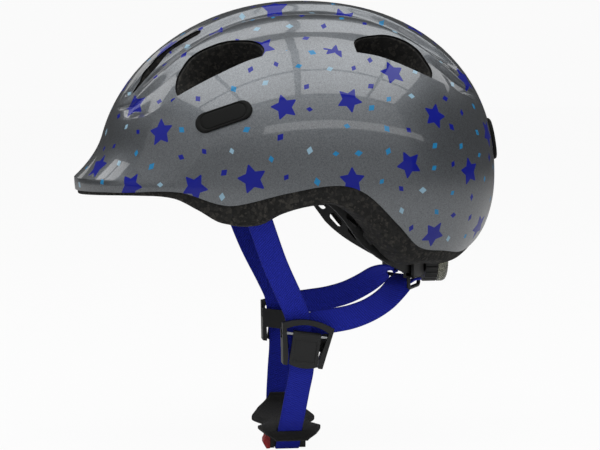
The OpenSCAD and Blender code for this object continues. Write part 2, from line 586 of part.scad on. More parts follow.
// Fit system: a ring round the back of the head, drawn in by a dial. Angle 0 is at the left
// temple, 90 at the rear.
ring_mid = [0, dome_mid[1], 0];
band_level = 4;
band_foot = 7.5;
band_low = [[0, band_foot], [band_level / 2, band_foot], [band_level, band_foot], [8, 4.5], [12, -0.5],
    [16, -6.8], [21.7, -16.6], [29.6, -25], [38.7, -31.6], [51, -37.8], [60, -39.4], [75, -39.4]];
band_start = 1.5;
arm_end = 70;
rack_end = 96;
arm_narrow = 12;
band_top = 0.5;
function ring_r(a) = mix(temple_x, ring_radius, ease(a / 40));
function band_rise(a) = along([[0, band_height], [30, band_height], [50, arm_narrow - 1],
    [58, arm_narrow - 0.4], [75, arm_narrow]], a);
module arm_band() {
    steps = 20;
    loft([for (k = [0:steps])
        let(a = k == 0 ? band_start : mix(band_level, arm_end, (k - 1) / (steps - 1)), r = ring_r(a),
        d = [cos(a), sin(a), 0], low = along(band_low, a), high = low + band_rise(a))
        [ring_mid + d * (r + band_thick / 2) + [0, 0, low],
            ring_mid + d * (r - band_thick / 2) + [0, 0, low],
            ring_mid + d * (r - band_thick / 2) + [0, 0, high],
            ring_mid + d * (r + band_thick / 2) + [0, 0, high]]]);
}

// Racks on the arm ends run over and under the pinion of the dial
pinion_teeth = 10;
pinion_pitch = 4;
tooth_high = 0.75;
tooth_pitch = 2 * PI * pinion_pitch / pinion_teeth;
rack_rise = 2.6;
rack_thick = band_thick - 0.4;
tooth_long = rack_thick - 0.2;
tooth_angle = tooth_pitch / ring_radius * 180 / PI;
module ring_arc(from, to, r1, r2, z1, z2) translate(ring_mid) rotate([0, 0, from])
    rotate_extrude(angle = to - from) translate([r1, z1]) square([r2 - r1, z2 - z1]);
module rack() {
    low = dial_axis + pinion_pitch + tooth_high * 0.6;
    ring_arc(arm_end - 2, rack_end, ring_radius - rack_thick / 2, ring_radius + rack_thick / 2,
        low, low + rack_rise);
    for (k = [-7:2]) translate(ring_mid) rotate([0, 0, 90 + (k + 0.5) * tooth_angle])
        translate([ring_radius - tooth_long / 2, 0, low]) rotate([90, 0, 90])
            linear_extrude(tooth_long) polygon([[-0.5, over / 2], [-0.5, 0], [-0.25, -tooth_high * 1.1],
                [0.25, -tooth_high * 1.1], [0.5, 0], [0.5, over / 2]]);
}
barrel_radius = 2.6;
slot_angles = [10, 18.6, 27, 37];
slot_lean = -46;
slot_run = 6;
slot_round = 2.3;
temple_at = [temple_x, dome_mid[1], 0];
arm_foot = along(band_low, 0);
module arm_body() difference() {
    union() {
        arm_band();
        translate(temple_at + [0, 0, arm_foot]) cylinder(r = barrel_radius, h = band_height);
    }
    translate(temple_at + [0, 0, arm_foot - over]) cylinder(d = temple_pin + 0.12,
        h = band_height + 2 * over);
    // Slots that let the arm bend
    for (a = slot_angles) translate(ring_mid) rotate([0, 0, a])
        translate([temple_x, 0, along(band_low, a) + band_rise(a) * 0.54])
            rotate([slot_lean, 0, 0]) hull() for (s = [-1, 1])
                translate([0, s * slot_run / 2, 0]) rotate([0, 90, 0])
                    cylinder(r = slot_round, h = 4 * band_thick + 6, center = true, $fn = 24);
}
module fit_arm_left() color("black") union() {
    arm_body();
    rack();
}
module fit_arm_right() color("black") mirror([1, 0, 0]) union() {
    arm_body();
    translate([0, 0, 2 * dial_axis]) mirror([0, 0, 1]) rack();
}

temple_pin = 3;
ear_thick = 1.5;
clip_plate = 1.3;
clip_rise = band_height + 2 * slip;
module temple_pin_left() color("silver") translate(temple_at + [0, 0, arm_foot - slip - ear_thick])
    cylinder(d = temple_pin, h = clip_rise + 2 * ear_thick);
module temple_pin_right() mirror([1, 0, 0]) temple_pin_left();
// Clip on the foam that holds the temple pin in two ears
module temple_clip_left() color("black") translate(temple_at + [0, 0, arm_foot - slip]) difference() {
    union() {
        translate([barrel_radius - 0.6, -6, -ear_thick])
            cube([clip_plate, 12, clip_rise + 2 * ear_thick]);
        for (z = [-ear_thick, clip_rise]) translate([0, 0, z]) hull() {
            cylinder(r = barrel_radius, h = ear_thick, $fn = 32);
            translate([barrel_radius - 0.7, -4, 0]) cube([0.8, 8, ear_thick]);
        }
    }
    translate([0, 0, -ear_thick - over]) cylinder(d = temple_pin + 0.04,
        h = clip_rise + 2 * ear_thick + 2 * over);
    // Room for the arm's barrel
    cylinder(r = barrel_radius + slip, h = clip_rise);
}
module temple_clip_right() mirror([1, 0, 0]) temple_clip_left();

// Cradle: a curved housing with a slot for the arm ends, and a loop for each rear strap
cradle_end = 57;
cradle_high = 2 * dial_axis - cradle_low;
cradle_wall = 1.8;
slot_half = 1.7;
shaft_radius = 2;
module cradle() color("black") difference() {
    union() {
        ring_arc(cradle_end, 180 - cradle_end, ring_radius - slot_half - cradle_wall,
            ring_radius + slot_half + cradle_wall, cradle_low, cradle_high);
        for (side = [0, 1]) mirror([side, 0, 0]) strap_loop();
    }
    ring_arc(cradle_end - 1, 181 - cradle_end, ring_radius - slot_half, ring_radius + slot_half,
        cradle_low + 1.2, cradle_high - 1.2);
    translate([0, dome_mid[1] + ring_radius, dial_axis]) rotate([90, 0, 0])
        cylinder(r = shaft_radius + 0.06, h = 20, center = true);
}
// A bail that hangs under the cradle, wide enough for the webbing
loop_wire = 2.4;
loop_drop = 6;
loop_corner = 2.4;
loop_room = 2.6;
module strap_loop() {
    half = (strap_width + loop_wire) / 2 + loop_room;
    run = half - loop_corner;
    translate(loop_at) rotate([0, 0, loop_angle - 90]) {
        for (s = [-1, 1]) {
            translate([s * half, 0, loop_corner - loop_drop]) cylinder(d = loop_wire,
                h = loop_drop - loop_corner + over);
            translate([s * run, 0, loop_corner - loop_drop]) rotate([-90, 0, 0])
                rotate([0, 0, s > 0 ? 0 : 90]) rotate_extrude(angle = 90) translate([loop_corner, 0])
                    circle(d = loop_wire);
        }
        translate([0, 0, -loop_drop]) rotate([0, 90, 0]) cylinder(d = loop_wire, h = 2 * run,
            center = true);
    }
}
module cradle_pad() color("dimgray") ring_arc(62, 118, ring_radius - slot_half - cradle_wall - 3.3,
    ring_radius - slot_half - cradle_wall - slip, cradle_low + 2, cradle_high - 2);

// Dial with a fluted rim, a shaft and a pinion, hollow behind for the light
dial_start = dome_mid[1] + ring_radius + slot_half + cradle_wall + slip;
dial_floor = 2.2;
dial_bore = 12.6;
dial_stop = dial_start + dial_length;
flutes = 24;
// Places a form on the dial axis, with its z along the axis to the rear
module on_dial(y) translate([0, y, dial_axis]) rotate([-90, 0, 0]) children();
module pinion() {
    inner = pinion_pitch - tooth_high * 0.6;
    cylinder(r = inner, h = 2 * slot_half - 0.8);
    for (k = [0:pinion_teeth - 1]) rotate([0, 0, 90 + k * 360 / pinion_teeth])
        linear_extrude(2 * slot_half - 0.8) polygon([[inner - 0.4, -0.6], [inner, -0.6],
            [pinion_pitch + tooth_high * 0.4, -0.3], [pinion_pitch + tooth_high * 0.4, 0.3],
            [inner, 0.6], [inner - 0.4, 0.6]]);
}
module fit_dial() color("black") union() {
    difference() {
        on_dial(dial_start) cylinder(d = dial_diameter, h = dial_length);
        on_dial(dial_start + dial_floor) cylinder(r = dial_bore, h = dial_length);
        for (k = [0:flutes - 1]) on_dial(dial_start - over) rotate([0, 0, k * 360 / flutes])
            translate([dial_diameter / 2 + 0.6, 0, 0]) cylinder(r = 1.4, h = dial_length + 2 * over,
                $fn = 24);
    }
    on_dial(dome_mid[1] + ring_radius - slot_half - cradle_wall + 0.2)
        cylinder(r = shaft_radius, h = 2 * slot_half + 2 * cradle_wall + slip + 0.8);
    on_dial(dome_mid[1] + ring_radius - slot_half + 0.4) pinion();
}

// Light: the lens is the button; below it lie the switch, the board and the coin cell
cell_diameter = 20;
cell_thick = 3.2;
board_thick = 1;
cell_start = dial_start + dial_floor + seat;
board_start = cell_start + cell_thick + seat;
switch_start = board_start + board_thick + seat;
switch_size = 4;
switch_high = 1.6;
skirt_wall = 1.2;
lens_gap = press_travel + 0.2;
lens_round = 3;
lens_start = dial_stop + lens_gap;
module light_lens() color("whitesmoke") on_dial(lens_start) difference() {
    union() {
        // Crown of the lens, rounded to its rim
        rotate_extrude() polygon(concat([[0, 0], [dial_diameter / 2, 0]],
            [for (k = [0:8]) let(t = k / 8 * 90) [dial_diameter / 2 - lens_round + lens_round * cos(t),
                lens_depth - lens_round + lens_round * sin(t)]], [[0, lens_depth]]));
        translate([0, 0, -lens_gap - 0.8]) cylinder(r = dial_bore - slip, h = lens_gap + 1.3);
    }
    difference() {
        translate([0, 0, -lens_gap - 2]) cylinder(r = dial_bore - slip - skirt_wall,
            h = lens_gap + 2 + lens_depth - 2.2);
        // Stem that presses the switch
        translate([0, 0, switch_start + switch_high + lens_gap - lens_start])
            cylinder(r = 1.6, h = lens_depth);
    }
}
module coin_cell() color("silver") on_dial(cell_start) cylinder(d = cell_diameter, h = cell_thick);
module light_board() color("green") on_dial(board_start)
    cylinder(r = dial_bore - 2, h = board_thick);
module press_switch() color("gray") on_dial(switch_start) translate([-switch_size / 2,
    -switch_size / 2, 0]) cube([switch_size, switch_size, switch_high]);

outer_shell();
eps_liner();
side_badge_left();
side_badge_right();
rear_badge();
brow_pad();
crown_pad();
side_pad_left();
side_pad_right();
front_strap_left();
front_strap_right();
strap_anchor_left();
strap_anchor_right();
rear_strap_left();
rear_strap_right();
divider_frame_left();
divider_frame_right();
divider_lever_left();
divider_lever_right();
divider_pin_left();
divider_pin_right();
strap_end_left();
chin_pad();
buckle_housing();
buckle_tongue();
release_tab();
housing_magnets();
tongue_magnets();
temple_clip_left();
temple_clip_right();
temple_pin_left();
temple_pin_right();
fit_arm_left();
fit_arm_right();
cradle();
cradle_pad();
fit_dial();
light_lens();
light_board();
coin_cell();
press_switch();
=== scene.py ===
"""Child's bicycle helmet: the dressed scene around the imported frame. Lengths in the functions are
millimetres, and meshes are built in metres. The front is -Y, the wearer's left is +X."""
import json
import math

import bmesh
import bpy
import numpy as np
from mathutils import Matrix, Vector


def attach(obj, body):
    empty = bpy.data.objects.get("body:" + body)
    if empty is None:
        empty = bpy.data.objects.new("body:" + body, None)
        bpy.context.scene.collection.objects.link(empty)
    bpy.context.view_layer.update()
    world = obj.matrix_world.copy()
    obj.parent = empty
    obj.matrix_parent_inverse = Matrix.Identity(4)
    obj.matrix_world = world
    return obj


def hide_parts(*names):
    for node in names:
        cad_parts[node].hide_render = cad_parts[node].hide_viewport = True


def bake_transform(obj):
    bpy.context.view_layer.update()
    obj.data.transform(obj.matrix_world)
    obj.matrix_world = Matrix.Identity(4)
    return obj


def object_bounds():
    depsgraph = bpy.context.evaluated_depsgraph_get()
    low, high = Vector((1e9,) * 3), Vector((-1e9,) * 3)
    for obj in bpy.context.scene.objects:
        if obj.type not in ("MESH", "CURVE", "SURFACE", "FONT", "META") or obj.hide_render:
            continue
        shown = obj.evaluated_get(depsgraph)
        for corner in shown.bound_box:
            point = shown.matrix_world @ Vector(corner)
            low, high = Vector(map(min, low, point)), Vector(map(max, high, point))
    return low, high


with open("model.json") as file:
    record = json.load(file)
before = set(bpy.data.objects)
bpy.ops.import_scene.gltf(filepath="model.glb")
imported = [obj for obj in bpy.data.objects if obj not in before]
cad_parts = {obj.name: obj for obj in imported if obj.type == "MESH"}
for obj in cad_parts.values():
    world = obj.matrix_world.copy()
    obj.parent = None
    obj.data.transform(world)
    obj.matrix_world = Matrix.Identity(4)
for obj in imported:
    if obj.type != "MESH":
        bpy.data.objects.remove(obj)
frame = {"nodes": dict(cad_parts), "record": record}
nodes = frame["nodes"]
cad_box = [list(map(float, c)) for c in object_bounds()]

MM = 0.001
FAR = 9.0  # a place in a decal's coordinates that lies well outside its shape

# ---------------------------------------------------------------- form of the dome
# A table holds pairs of an azimuth from the front, in degrees, and a value there: a height for the
# rims, and an elevation in degrees for the crease, the crest and the ridge
shell_wall = 1.2
seat = 0.1  # room between the shell and the foam
dome_mid = np.array([0, 5, 20.0])
dome_half = [102, 125, 122, 107, 88]  # half sizes to the side, front, rear, top and bottom
head_half = [77, 96, 97, 84, 105]
square_more, square_span = 0.2, 1.2  # the dome gets squarer towards the rear
lip_height = 7.5
shell_rim = [[0, 11.5], [27, 13], [45, 14.5], [57, 8], [63, 7.5], [80, 15], [96, 19], [105, 14],
             [117, -5], [127, -19], [140, -23], [152, -25], [160, -20], [168, -10.5], [180, -8]]
foam_rim = [[0, 9], [32, 11.5], [43, 10.5], [50, 4], [57, -3.5], [68, -4], [77, 3], [87, 7.5],
            [96, 8], [106, -2], [118, -19], [128, -28], [140, -29.5], [153, -31], [160, -26],
            [167, -15], [180, -12.5]]
crease = [[0, 16.5], [27, 18.6], [37, 25.4], [50, 34.3], [64, 41.9], [83, 46.1], [115, 42.5],
          [137, 31.3], [149, 25.3], [180, 16]]
crest = [[0, 20], [10.6, 21], [16, 22.5], [19, 26], [23, 33], [27, 42], [32, 50], [42, 58.5],
         [60, 63.5], [85, 65], [115, 63], [133, 57.5], [142, 49], [148, 40], [153, 32], [158, 26.5],
         [180, 21]]
ridge = [[0, 24.5], [10.6, 26], [11.4, 30], [12.2, 36.5], [13.6, 41.5], [15.6, 46.5], [18, 53],
         [22, 61], [28, 68.5], [40, 75], [60, 78.5], [88, 79.5], [118, 78.5], [137, 74], [144, 68],
         [148, 60], [151, 52], [155, 44.5], [159, 37], [164, 30], [180, 25]]
channel_depth = 4.5
edge_outer = 2.5  # degrees from the crease to the channel's floor
low_floor, high_floor = 0.55, 0.65  # where the floors end below and above the crest
crest_share = 0.35  # share of the depth at the crest
# Where each end of the channel starts, and over how many degrees it gets its depth
low_front, high_front, rear_end = (13, 13), (8, 9), (162, 12)
peak_out, peak_top, peak_span, peak_fill = 14, 45, 60, 1.05
peak_lip = shell_rim[0][1] + lip_height


def ease(t):
    c = np.clip(t, 0, 1)
    return c * c * (3 - 2 * c)


def mix(a, b, t):
    return a + (b - a) * t


def fold(u):
    """Azimuth from the front, 0 to 180 degrees on either side"""
    m = np.mod(u, 360)
    return np.where(m > 180, 360 - m, m)


def along(table, x):
    """A table's value at x, on a smooth curve through its points"""
    p = np.array(table, float)
    xs, ys = p[:, 0], p[:, 1]
    s = np.zeros(len(p))
    s[1:-1] = (ys[2:] - ys[:-2]) / (xs[2:] - xs[:-2])
    x = np.asarray(x, float)
    i = np.clip(np.searchsorted(xs, x, side="right") - 1, 0, len(p) - 2)
    w = xs[i + 1] - xs[i]
    t = (x - xs[i]) / w
    return ((2 * t**3 - 3 * t**2 + 1) * ys[i] + (t**3 - 2 * t**2 + t) * w * s[i]
            + (3 * t**2 - 2 * t**3) * ys[i + 1] + (t**3 - t**2) * w * s[i + 1])


def heading(u, v):
    """Unit vectors with azimuth u from the front and elevation v"""
    u, v = np.radians(u), np.radians(v)
    u, v = np.broadcast_arrays(u, v)
    return np.stack([np.sin(u) * np.cos(v), -np.cos(u) * np.cos(v), np.sin(v)], -1)


def reach(u, v, half):
    """Distance from the middle to a dome of these half sizes"""
    n = 2 + square_more * ease((1 - np.cos(np.radians(u))) / square_span)
    d = heading(u, v)
    length = np.where(d[..., 1] < 0, half[1], half[2])
    height = np.where(d[..., 2] < 0, half[4], half[3])
    return ((abs(d[..., 0]) / half[0]) ** n + (abs(d[..., 1]) / length) ** n
            + (abs(d[..., 2]) / height) ** n) ** (-1 / n)


def level(u, z):
    """Elevation at which the dome is z high"""
    v = np.zeros_like(np.asarray(u, float))
    for _ in range(6):
        v = np.degrees(np.arcsin((z - dome_mid[2]) / reach(u, v, dome_half)))
    return v


def channel_form(f):
    """Places from the crease to the middle ridge, and the share of the depth at each"""
    low, mid, high = along(crease, f), along(crest, f), along(ridge, f)
    start = low + edge_outer
    places = [low, start, mix(start, mid, low_floor), mid, mix(mid, high, high_floor), high]
    return places, [0, 1, 1, crest_share, 1, 0]


def channel(u, v):
    """Depth of the channel below the dome"""
    f = fold(u)
    places, shares = channel_form(f)
    depth = 0.0
    for k in range(len(places) - 1):
        t = np.clip((v - places[k]) / (places[k + 1] - places[k]), 0, 1)
        here = mix(shares[k], shares[k + 1], ease(t) if k else t)
        depth = np.where((v >= places[k]) & (v < places[k + 1]), here, depth)
    # Below the crest the channel's front end runs out more softly than beside the ridge
    front = mix(ease((f - low_front[0]) / low_front[1]), ease((f - high_front[0]) / high_front[1]),
                ease((v - places[1]) / (places[3] - places[1])))
    rear = ease((rear_end[0] - f) / rear_end[1])
    return channel_depth * front * rear * depth


def sweep(u, z):
    """How far the peak stands out from the dome at height z"""
    t = np.clip((peak_top - z) / (peak_top - peak_lip), 0, 1)
    return peak_out * ease((peak_span - fold(u)) / peak_span * peak_fill) * t**2


def skin(u, v, inset):
    """Points at a depth of inset under the shell's outside"""
    u, v = np.broadcast_arrays(np.asarray(u, float), np.asarray(v, float))
    r = reach(u, v, dome_half) - channel(u, v) - inset
    p = r[..., None] * heading(u, v)
    out = np.stack([np.sin(np.radians(u)), -np.cos(np.radians(u)), np.zeros_like(u)], -1)
    return dome_mid + p + sweep(u, p[..., 2] + dome_mid[2])[..., None] * out


def hollow(u, v, inset):
    """Points at a distance of inset inside the hollow for the head"""
    u, v = np.broadcast_arrays(np.asarray(u, float), np.asarray(v, float))
    return dome_mid + (reach(u, v, head_half) - inset)[..., None] * heading(u, v)


# ---------------------------------------------------------------- mesh helpers
def new_object(name, verts, faces, body="helmet", smooth=True, uvs=None):
    """verts in millimetres; uvs maps a layer's name to one pair per loop"""
    mesh = bpy.data.meshes.new(name)
    mesh.from_pydata((np.asarray(verts, float) * MM).tolist(), [],
                     [list(map(int, f)) for f in faces])
    for layer, values in (uvs or {}).items():
        mesh.uv_layers.new(name=layer).data.foreach_set("uv", np.asarray(values, float).ravel())
    mesh.validate()
    if smooth:
        mesh.shade_smooth()
    obj = bpy.data.objects.new(name, mesh)
    bpy.context.scene.collection.objects.link(obj)
    if body:
        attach(obj, body)
    return obj


def crisp(obj, angle):
    """Smooth, apart from edges sharper than the angle"""
    obj.data.shade_smooth()
    obj.data.set_sharp_from_angle(angle=math.radians(angle))


def fix_normals(obj):
    bm = bmesh.new()
    bm.from_mesh(obj.data)
    bmesh.ops.recalc_face_normals(bm, faces=bm.faces)
    bm.to_mesh(obj.data)
    bm.free()


def ring_faces(rows, n):
    """Quads between closed rows of n points"""
    return [(r * n + i, r * n + (i + 1) % n, (r + 1) * n + (i + 1) % n, (r + 1) * n + i)
            for r in range(rows - 1) for i in range(n)]


def end_fans(rows, n):
    """Triangles from the first row to the point behind the rows, and from the last to the next"""
    a = rows * n
    return ([(a, (i + 1) % n, i) for i in range(n)]
            + [(a + 1, a - n + i, a - n + (i + 1) % n) for i in range(n)])


def sheet_faces(n, m):
    """Faces of two layers of (n + 1) by (m + 1) points, joined along their edges"""
    far = (n + 1) * (m + 1)
    faces = []
    for i in range(n):
        for j in range(m):
            q = i * (m + 1) + j
            faces.append((q, q + 1, q + m + 2, q + m + 1))
            faces.append(tuple(far + x for x in (q, q + m + 1, q + m + 2, q + 1)))
    edge = ([i * (m + 1) for i in range(n)] + [n * (m + 1) + j for j in range(m)]
            + [i * (m + 1) + m for i in range(n, 0, -1)] + list(range(m, 0, -1)))
    return faces + [(a, b, far + b, far + a) for a, b in zip(edge, edge[1:] + edge[:1])]


def cut(obj, cutters):
    for c in cutters:
        m = obj.modifiers.new("cut", "BOOLEAN")
        m.object, m.operation, m.solver = c, "DIFFERENCE", "MANIFOLD"
    dg = bpy.context.evaluated_depsgraph_get()
    mesh = bpy.data.meshes.new_from_object(obj.evaluated_get(dg), preserve_all_data_layers=True,
                                           depsgraph=dg)
    obj.modifiers.clear()
    obj.data = mesh
    for c in cutters:
        bpy.data.objects.remove(c, do_unlink=True)


def spline(points, steps, closed=False):
    """A smooth curve through the points, with this many steps from each to the next"""
    p = np.array(points, float)
    n = len(p)
    out = []
    for i in range(n if closed else n - 1):
        if closed:
            a, b, c, d = p[(i - 1) % n], p[i], p[(i + 1) % n], p[(i + 2) % n]
        else:
            a, b, c, d = p[max(i - 1, 0)], p[i], p[i + 1], p[min(i + 2, n - 1)]
        for k in range(steps):
            t = k / steps
            out.append(0.5 * (2 * b + (c - a) * t + (2 * a - 5 * b + 4 * c - d) * t**2
                              + (3 * b - a - 3 * c + d) * t**3))
    if not closed:
        out.append(p[-1])
    return np.array(out)


# ---------------------------------------------------------------- materials
def material(name, build):
    mat = bpy.data.materials.new(name)
    mat.use_nodes = True
    nt = mat.node_tree
    nt.nodes.clear()
    out = nt.nodes.new("ShaderNodeOutputMaterial")
    bsdf = nt.nodes.new("ShaderNodeBsdfPrincipled")
    nt.links.new(bsdf.outputs[0], out.inputs[0])
    build(Tree(nt, bsdf))
    return mat


class Tree:
    """Short ways to add nodes and links to a material"""

    def __init__(self, nt, bsdf):
        self.nt, self.bsdf = nt, bsdf

    def link(self, value, socket):
        if hasattr(value, "is_output"):
            self.nt.links.new(value, socket)
        else:
            socket.default_value = value

    def shade(self, **values):
        for key, value in values.items():
            self.link(value, self.bsdf.inputs[key.replace("_", " ")])

    def node(self, kind, **props):
        n = self.nt.nodes.new(kind)
        for key, value in props.items():
            setattr(n, key, value)
        return n

    def math(self, op, a, b=0.0, c=0.0, clamp=False):
        n = self.node("ShaderNodeMath", operation=op, use_clamp=clamp)
        for socket, value in zip(n.inputs, (a, b, c)):
            self.link(value, socket)
        return n.outputs[0]

    def coords(self, layer=None):
        if layer:
            return self.node("ShaderNodeUVMap", uv_map=layer).outputs[0]
        return self.node("ShaderNodeTexCoord").outputs["Object"]

    def split(self, vector):
        n = self.node("ShaderNodeSeparateXYZ")
        self.link(vector, n.inputs[0])
        return n.outputs

    def scaled(self, vector, by):
        n = self.node("ShaderNodeVectorMath", operation="MULTIPLY")
        self.link(vector, n.inputs[0])
        n.inputs[1].default_value = by
        return n.outputs[0]

    def noise(self, scale, detail=2.0, rough=0.5, vector=None):
        n = self.node("ShaderNodeTexNoise")
        self.link(vector or self.coords(), n.inputs["Vector"])
        n.inputs["Scale"].default_value = scale
        n.inputs["Detail"].default_value = detail
        n.inputs["Roughness"].default_value = rough
        return n.outputs["Fac"]

    def cells(self, scale, feature="F1", spread=1.0):
        n = self.node("ShaderNodeTexVoronoi", feature=feature)
        self.link(self.coords(), n.inputs["Vector"])
        n.inputs["Scale"].default_value = scale
        n.inputs["Randomness"].default_value = spread
        return n.outputs

    def ramp(self, value, stops):
        n = self.node("ShaderNodeValToRGB")
        self.link(value, n.inputs[0])
        while len(n.color_ramp.elements) < len(stops):
            n.color_ramp.elements.new(0.5)
        for e, (at, colour) in zip(n.color_ramp.elements, stops):
            e.position, e.color = at, (*colour, 1)
        return n.outputs[0]

    def blend(self, fac, a, b):
        n = self.node("ShaderNodeMix", data_type="RGBA")
        self.link(fac, n.inputs["Factor"])
        for socket, value in ((n.inputs[6], a), (n.inputs[7], b)):
            self.link((*value, 1) if isinstance(value, tuple) else value, socket)
        return n.outputs[2]

    def lerp(self, fac, a, b):
        n = self.node("ShaderNodeMix", data_type="FLOAT")
        for socket, value in zip((n.inputs[0], n.inputs[2], n.inputs[3]), (fac, a, b)):
            self.link(value, socket)
        return n.outputs[0]

    def bump(self, height, distance, strength):
        n = self.node("ShaderNodeBump")
        n.inputs["Strength"].default_value = strength
        n.inputs["Distance"].default_value = distance
        self.link(height, n.inputs["Height"])
        return n.outputs[0]

    def wave(self, place, pitch):
        """A sine of this pitch, from -1 to 1"""
        return self.math("SINE", self.math("MULTIPLY", place, 2 * math.pi / pitch))


def srgb(r, g, b):
    return tuple(c / 255 / 12.92 if c / 255 <= 0.04045 else ((c / 255 + 0.055) / 1.055) ** 2.4
                 for c in (r, g, b))


PRINT_BLUE, CYAN, PALE = srgb(14, 25, 142), srgb(40, 132, 184), srgb(150, 185, 205)
RAW_BLACK = (0.006, 0.006, 0.006)
STAR_NOTCH = 0.52  # distance of the notches from the middle; sharp points would reach 1
STAR_BLUNT, STAR_ROUND = 0.93, 0.08
DIAMOND_SLIM = 1.35
STAR_SHARP, DIAMOND_SHARP = 40, 14  # steepness of the print's edges


def star_shape(t):
    """1 inside a five-pointed star of radius 1"""
    x, y, _ = t.split(t.coords("star"))
    tenth = math.pi / 5
    turn = t.math("PINGPONG", t.math("ARCTAN2", y, x), tenth)
    side, rise = STAR_NOTCH * math.cos(tenth), STAR_NOTCH * math.sin(tenth)
    slope = t.math("ADD", t.math("MULTIPLY", t.math("COSINE", turn), rise),
                   t.math("MULTIPLY", t.math("SINE", turn), 1 - side))
    outline = t.math("SMOOTH_MIN", t.math("DIVIDE", rise, slope), STAR_BLUNT, STAR_ROUND)
    away = t.math("SQRT", t.math("ADD", t.math("MULTIPLY", x, x), t.math("MULTIPLY", y, y)))
    return t.math("MULTIPLY", t.math("SUBTRACT", outline, away), STAR_SHARP, clamp=True)


def diamond_shape(t):
    """1 inside a slim diamond of radius 1"""
    x, y, _ = t.split(t.coords("diamond"))
    across = t.math("MULTIPLY", t.math("ABSOLUTE", y), DIAMOND_SLIM)
    flat = t.math("ADD", t.math("ABSOLUTE", x), across)
    return t.math("MULTIPLY", t.math("SUBTRACT", 1, flat), DIAMOND_SHARP, clamp=True)


def shell_paint(t):
    # Metal flake under clear lacquer, with printed stars and small diamonds
    flake = t.cells(2600)
    grain = t.noise(900, 3, 0.6)
    shade = t.math("MULTIPLY_ADD", t.split(flake["Color"])[0], 0.42,
                   t.math("MULTIPLY_ADD", grain, 0.5, 0.52))
    metal = t.node("ShaderNodeVectorMath", operation="SCALE")
    metal.inputs[0].default_value = srgb(112, 116, 120)
    t.link(shade, metal.inputs["Scale"])
    star, diamond = star_shape(t), diamond_shape(t)
    place = t.split(t.coords("tint"))[0]
    tint = t.ramp(place, [(0, PRINT_BLUE), (0.45, CYAN), (0.75, PALE)])
    tint.node.color_ramp.interpolation = "CONSTANT"
    colour = t.blend(diamond, metal.outputs[0], tint)
    colour = t.blend(star, colour, PRINT_BLUE)
    # The shell's inside and the cut edges of its openings have no tint and stay black
    raw = t.math("GREATER_THAN", place, 2)
    colour = t.blend(raw, colour, RAW_BLACK)
    ink = t.math("MAXIMUM", t.math("MAXIMUM", star, diamond), raw)
    t.shade(Base_Color=colour, Metallic=t.lerp(ink, 0.72, 0.0), Roughness=t.lerp(ink, 0.38, 0.5),
            Specular_IOR_Level=t.lerp(ink, 0.5, 0.1),
            Coat_Weight=t.lerp(raw, t.lerp(ink, 1.0, 0.6), 0.0), Coat_Roughness=0.035, Coat_IOR=1.5,
            Normal=t.bump(t.split(flake["Color"])[1], 0.00002, 0.25))


def eps_foam(t):
    # Moulded beads with dark gaps and a brown speckle
    beads = t.cells(460)
    gaps = t.cells(460, "DISTANCE_TO_EDGE")
    fleck = t.cells(900)
    body = t.ramp(t.split(beads["Color"])[0], [(0, srgb(28, 28, 27)), (0.45, srgb(36, 36, 35)),
                                               (0.75, srgb(46, 45, 43)), (1, srgb(60, 58, 54))])
    spot = t.math("GREATER_THAN", t.split(fleck["Color"])[1], 0.92)
    colour = t.blend(t.math("MULTIPLY", spot, 0.35), body, srgb(88, 84, 78))
    dark = t.math("MULTIPLY", gaps[0], 9, clamp=True)
    colour = t.blend(t.math("MULTIPLY_ADD", dark, -0.45, 0.45), colour, srgb(16, 15, 14))
    height = t.math("ADD", t.math("MULTIPLY", dark, 0.6), t.noise(1400, 3))
    t.shade(Base_Color=colour, Roughness=0.86, Specular_IOR_Level=0.3,
            Normal=t.bump(height, 0.00025, 0.7))


def webbing(t):
    # Diagonal twill across the band, darker towards the selvedges
    x, y, _ = t.split(t.coords("weave"))
    twill = t.wave(t.math("ADD", x, t.math("MULTIPLY", y, 0.55)), 1.5)
    thread = t.wave(y, 0.62)
    side = t.math("POWER", t.math("DIVIDE", t.math("ABSOLUTE", y), strap_width / 2), 8.0)
    rib = t.math("MULTIPLY_ADD", twill, 0.5, 0.5)
    fuzz = t.noise(1600, 4, 0.65)
    fade = t.noise(45, 2)
    colour = t.blend(rib, srgb(30, 41, 161), srgb(40, 54, 204))
    colour = t.blend(t.math("MULTIPLY", fuzz, 0.35), colour, srgb(20, 27, 120))
    colour = t.blend(t.math("MULTIPLY", fade, 0.25), colour, srgb(44, 56, 205))
    colour = t.blend(t.math("MULTIPLY", side, 0.35, clamp=True), colour, srgb(20, 27, 118))
    height = t.math("ADD", rib, t.math("MULTIPLY", t.math("ADD", thread, fuzz), 0.25))
    t.shade(Base_Color=colour, Roughness=0.8, Sheen_Weight=0.04, Sheen_Roughness=0.5,
            Specular_IOR_Level=0.2, Normal=t.bump(height, 0.00022, 0.8))


def moulded(colour, rough=0.46):
    def build(t):
        grain = t.noise(2200, 2)
        soft = t.noise(60, 3)
        worn = tuple(c + 0.012 for c in colour)
        t.shade(Base_Color=t.blend(t.math("MULTIPLY", soft, 0.5), colour, worn),
                Roughness=t.math("MULTIPLY_ADD", soft, 0.16, rough - 0.08),
                Normal=t.bump(grain, 0.00004, 0.35))
    return build


def rubber(t):
    grain = t.noise(1500, 2)
    soft = t.noise(70, 3)
    t.shade(Base_Color=t.blend(soft, srgb(13, 14, 13), srgb(19, 20, 19)), Specular_IOR_Level=0.2,
            Roughness=t.math("MULTIPLY_ADD", soft, 0.12, 0.62), Normal=t.bump(grain, 0.00005, 0.5))


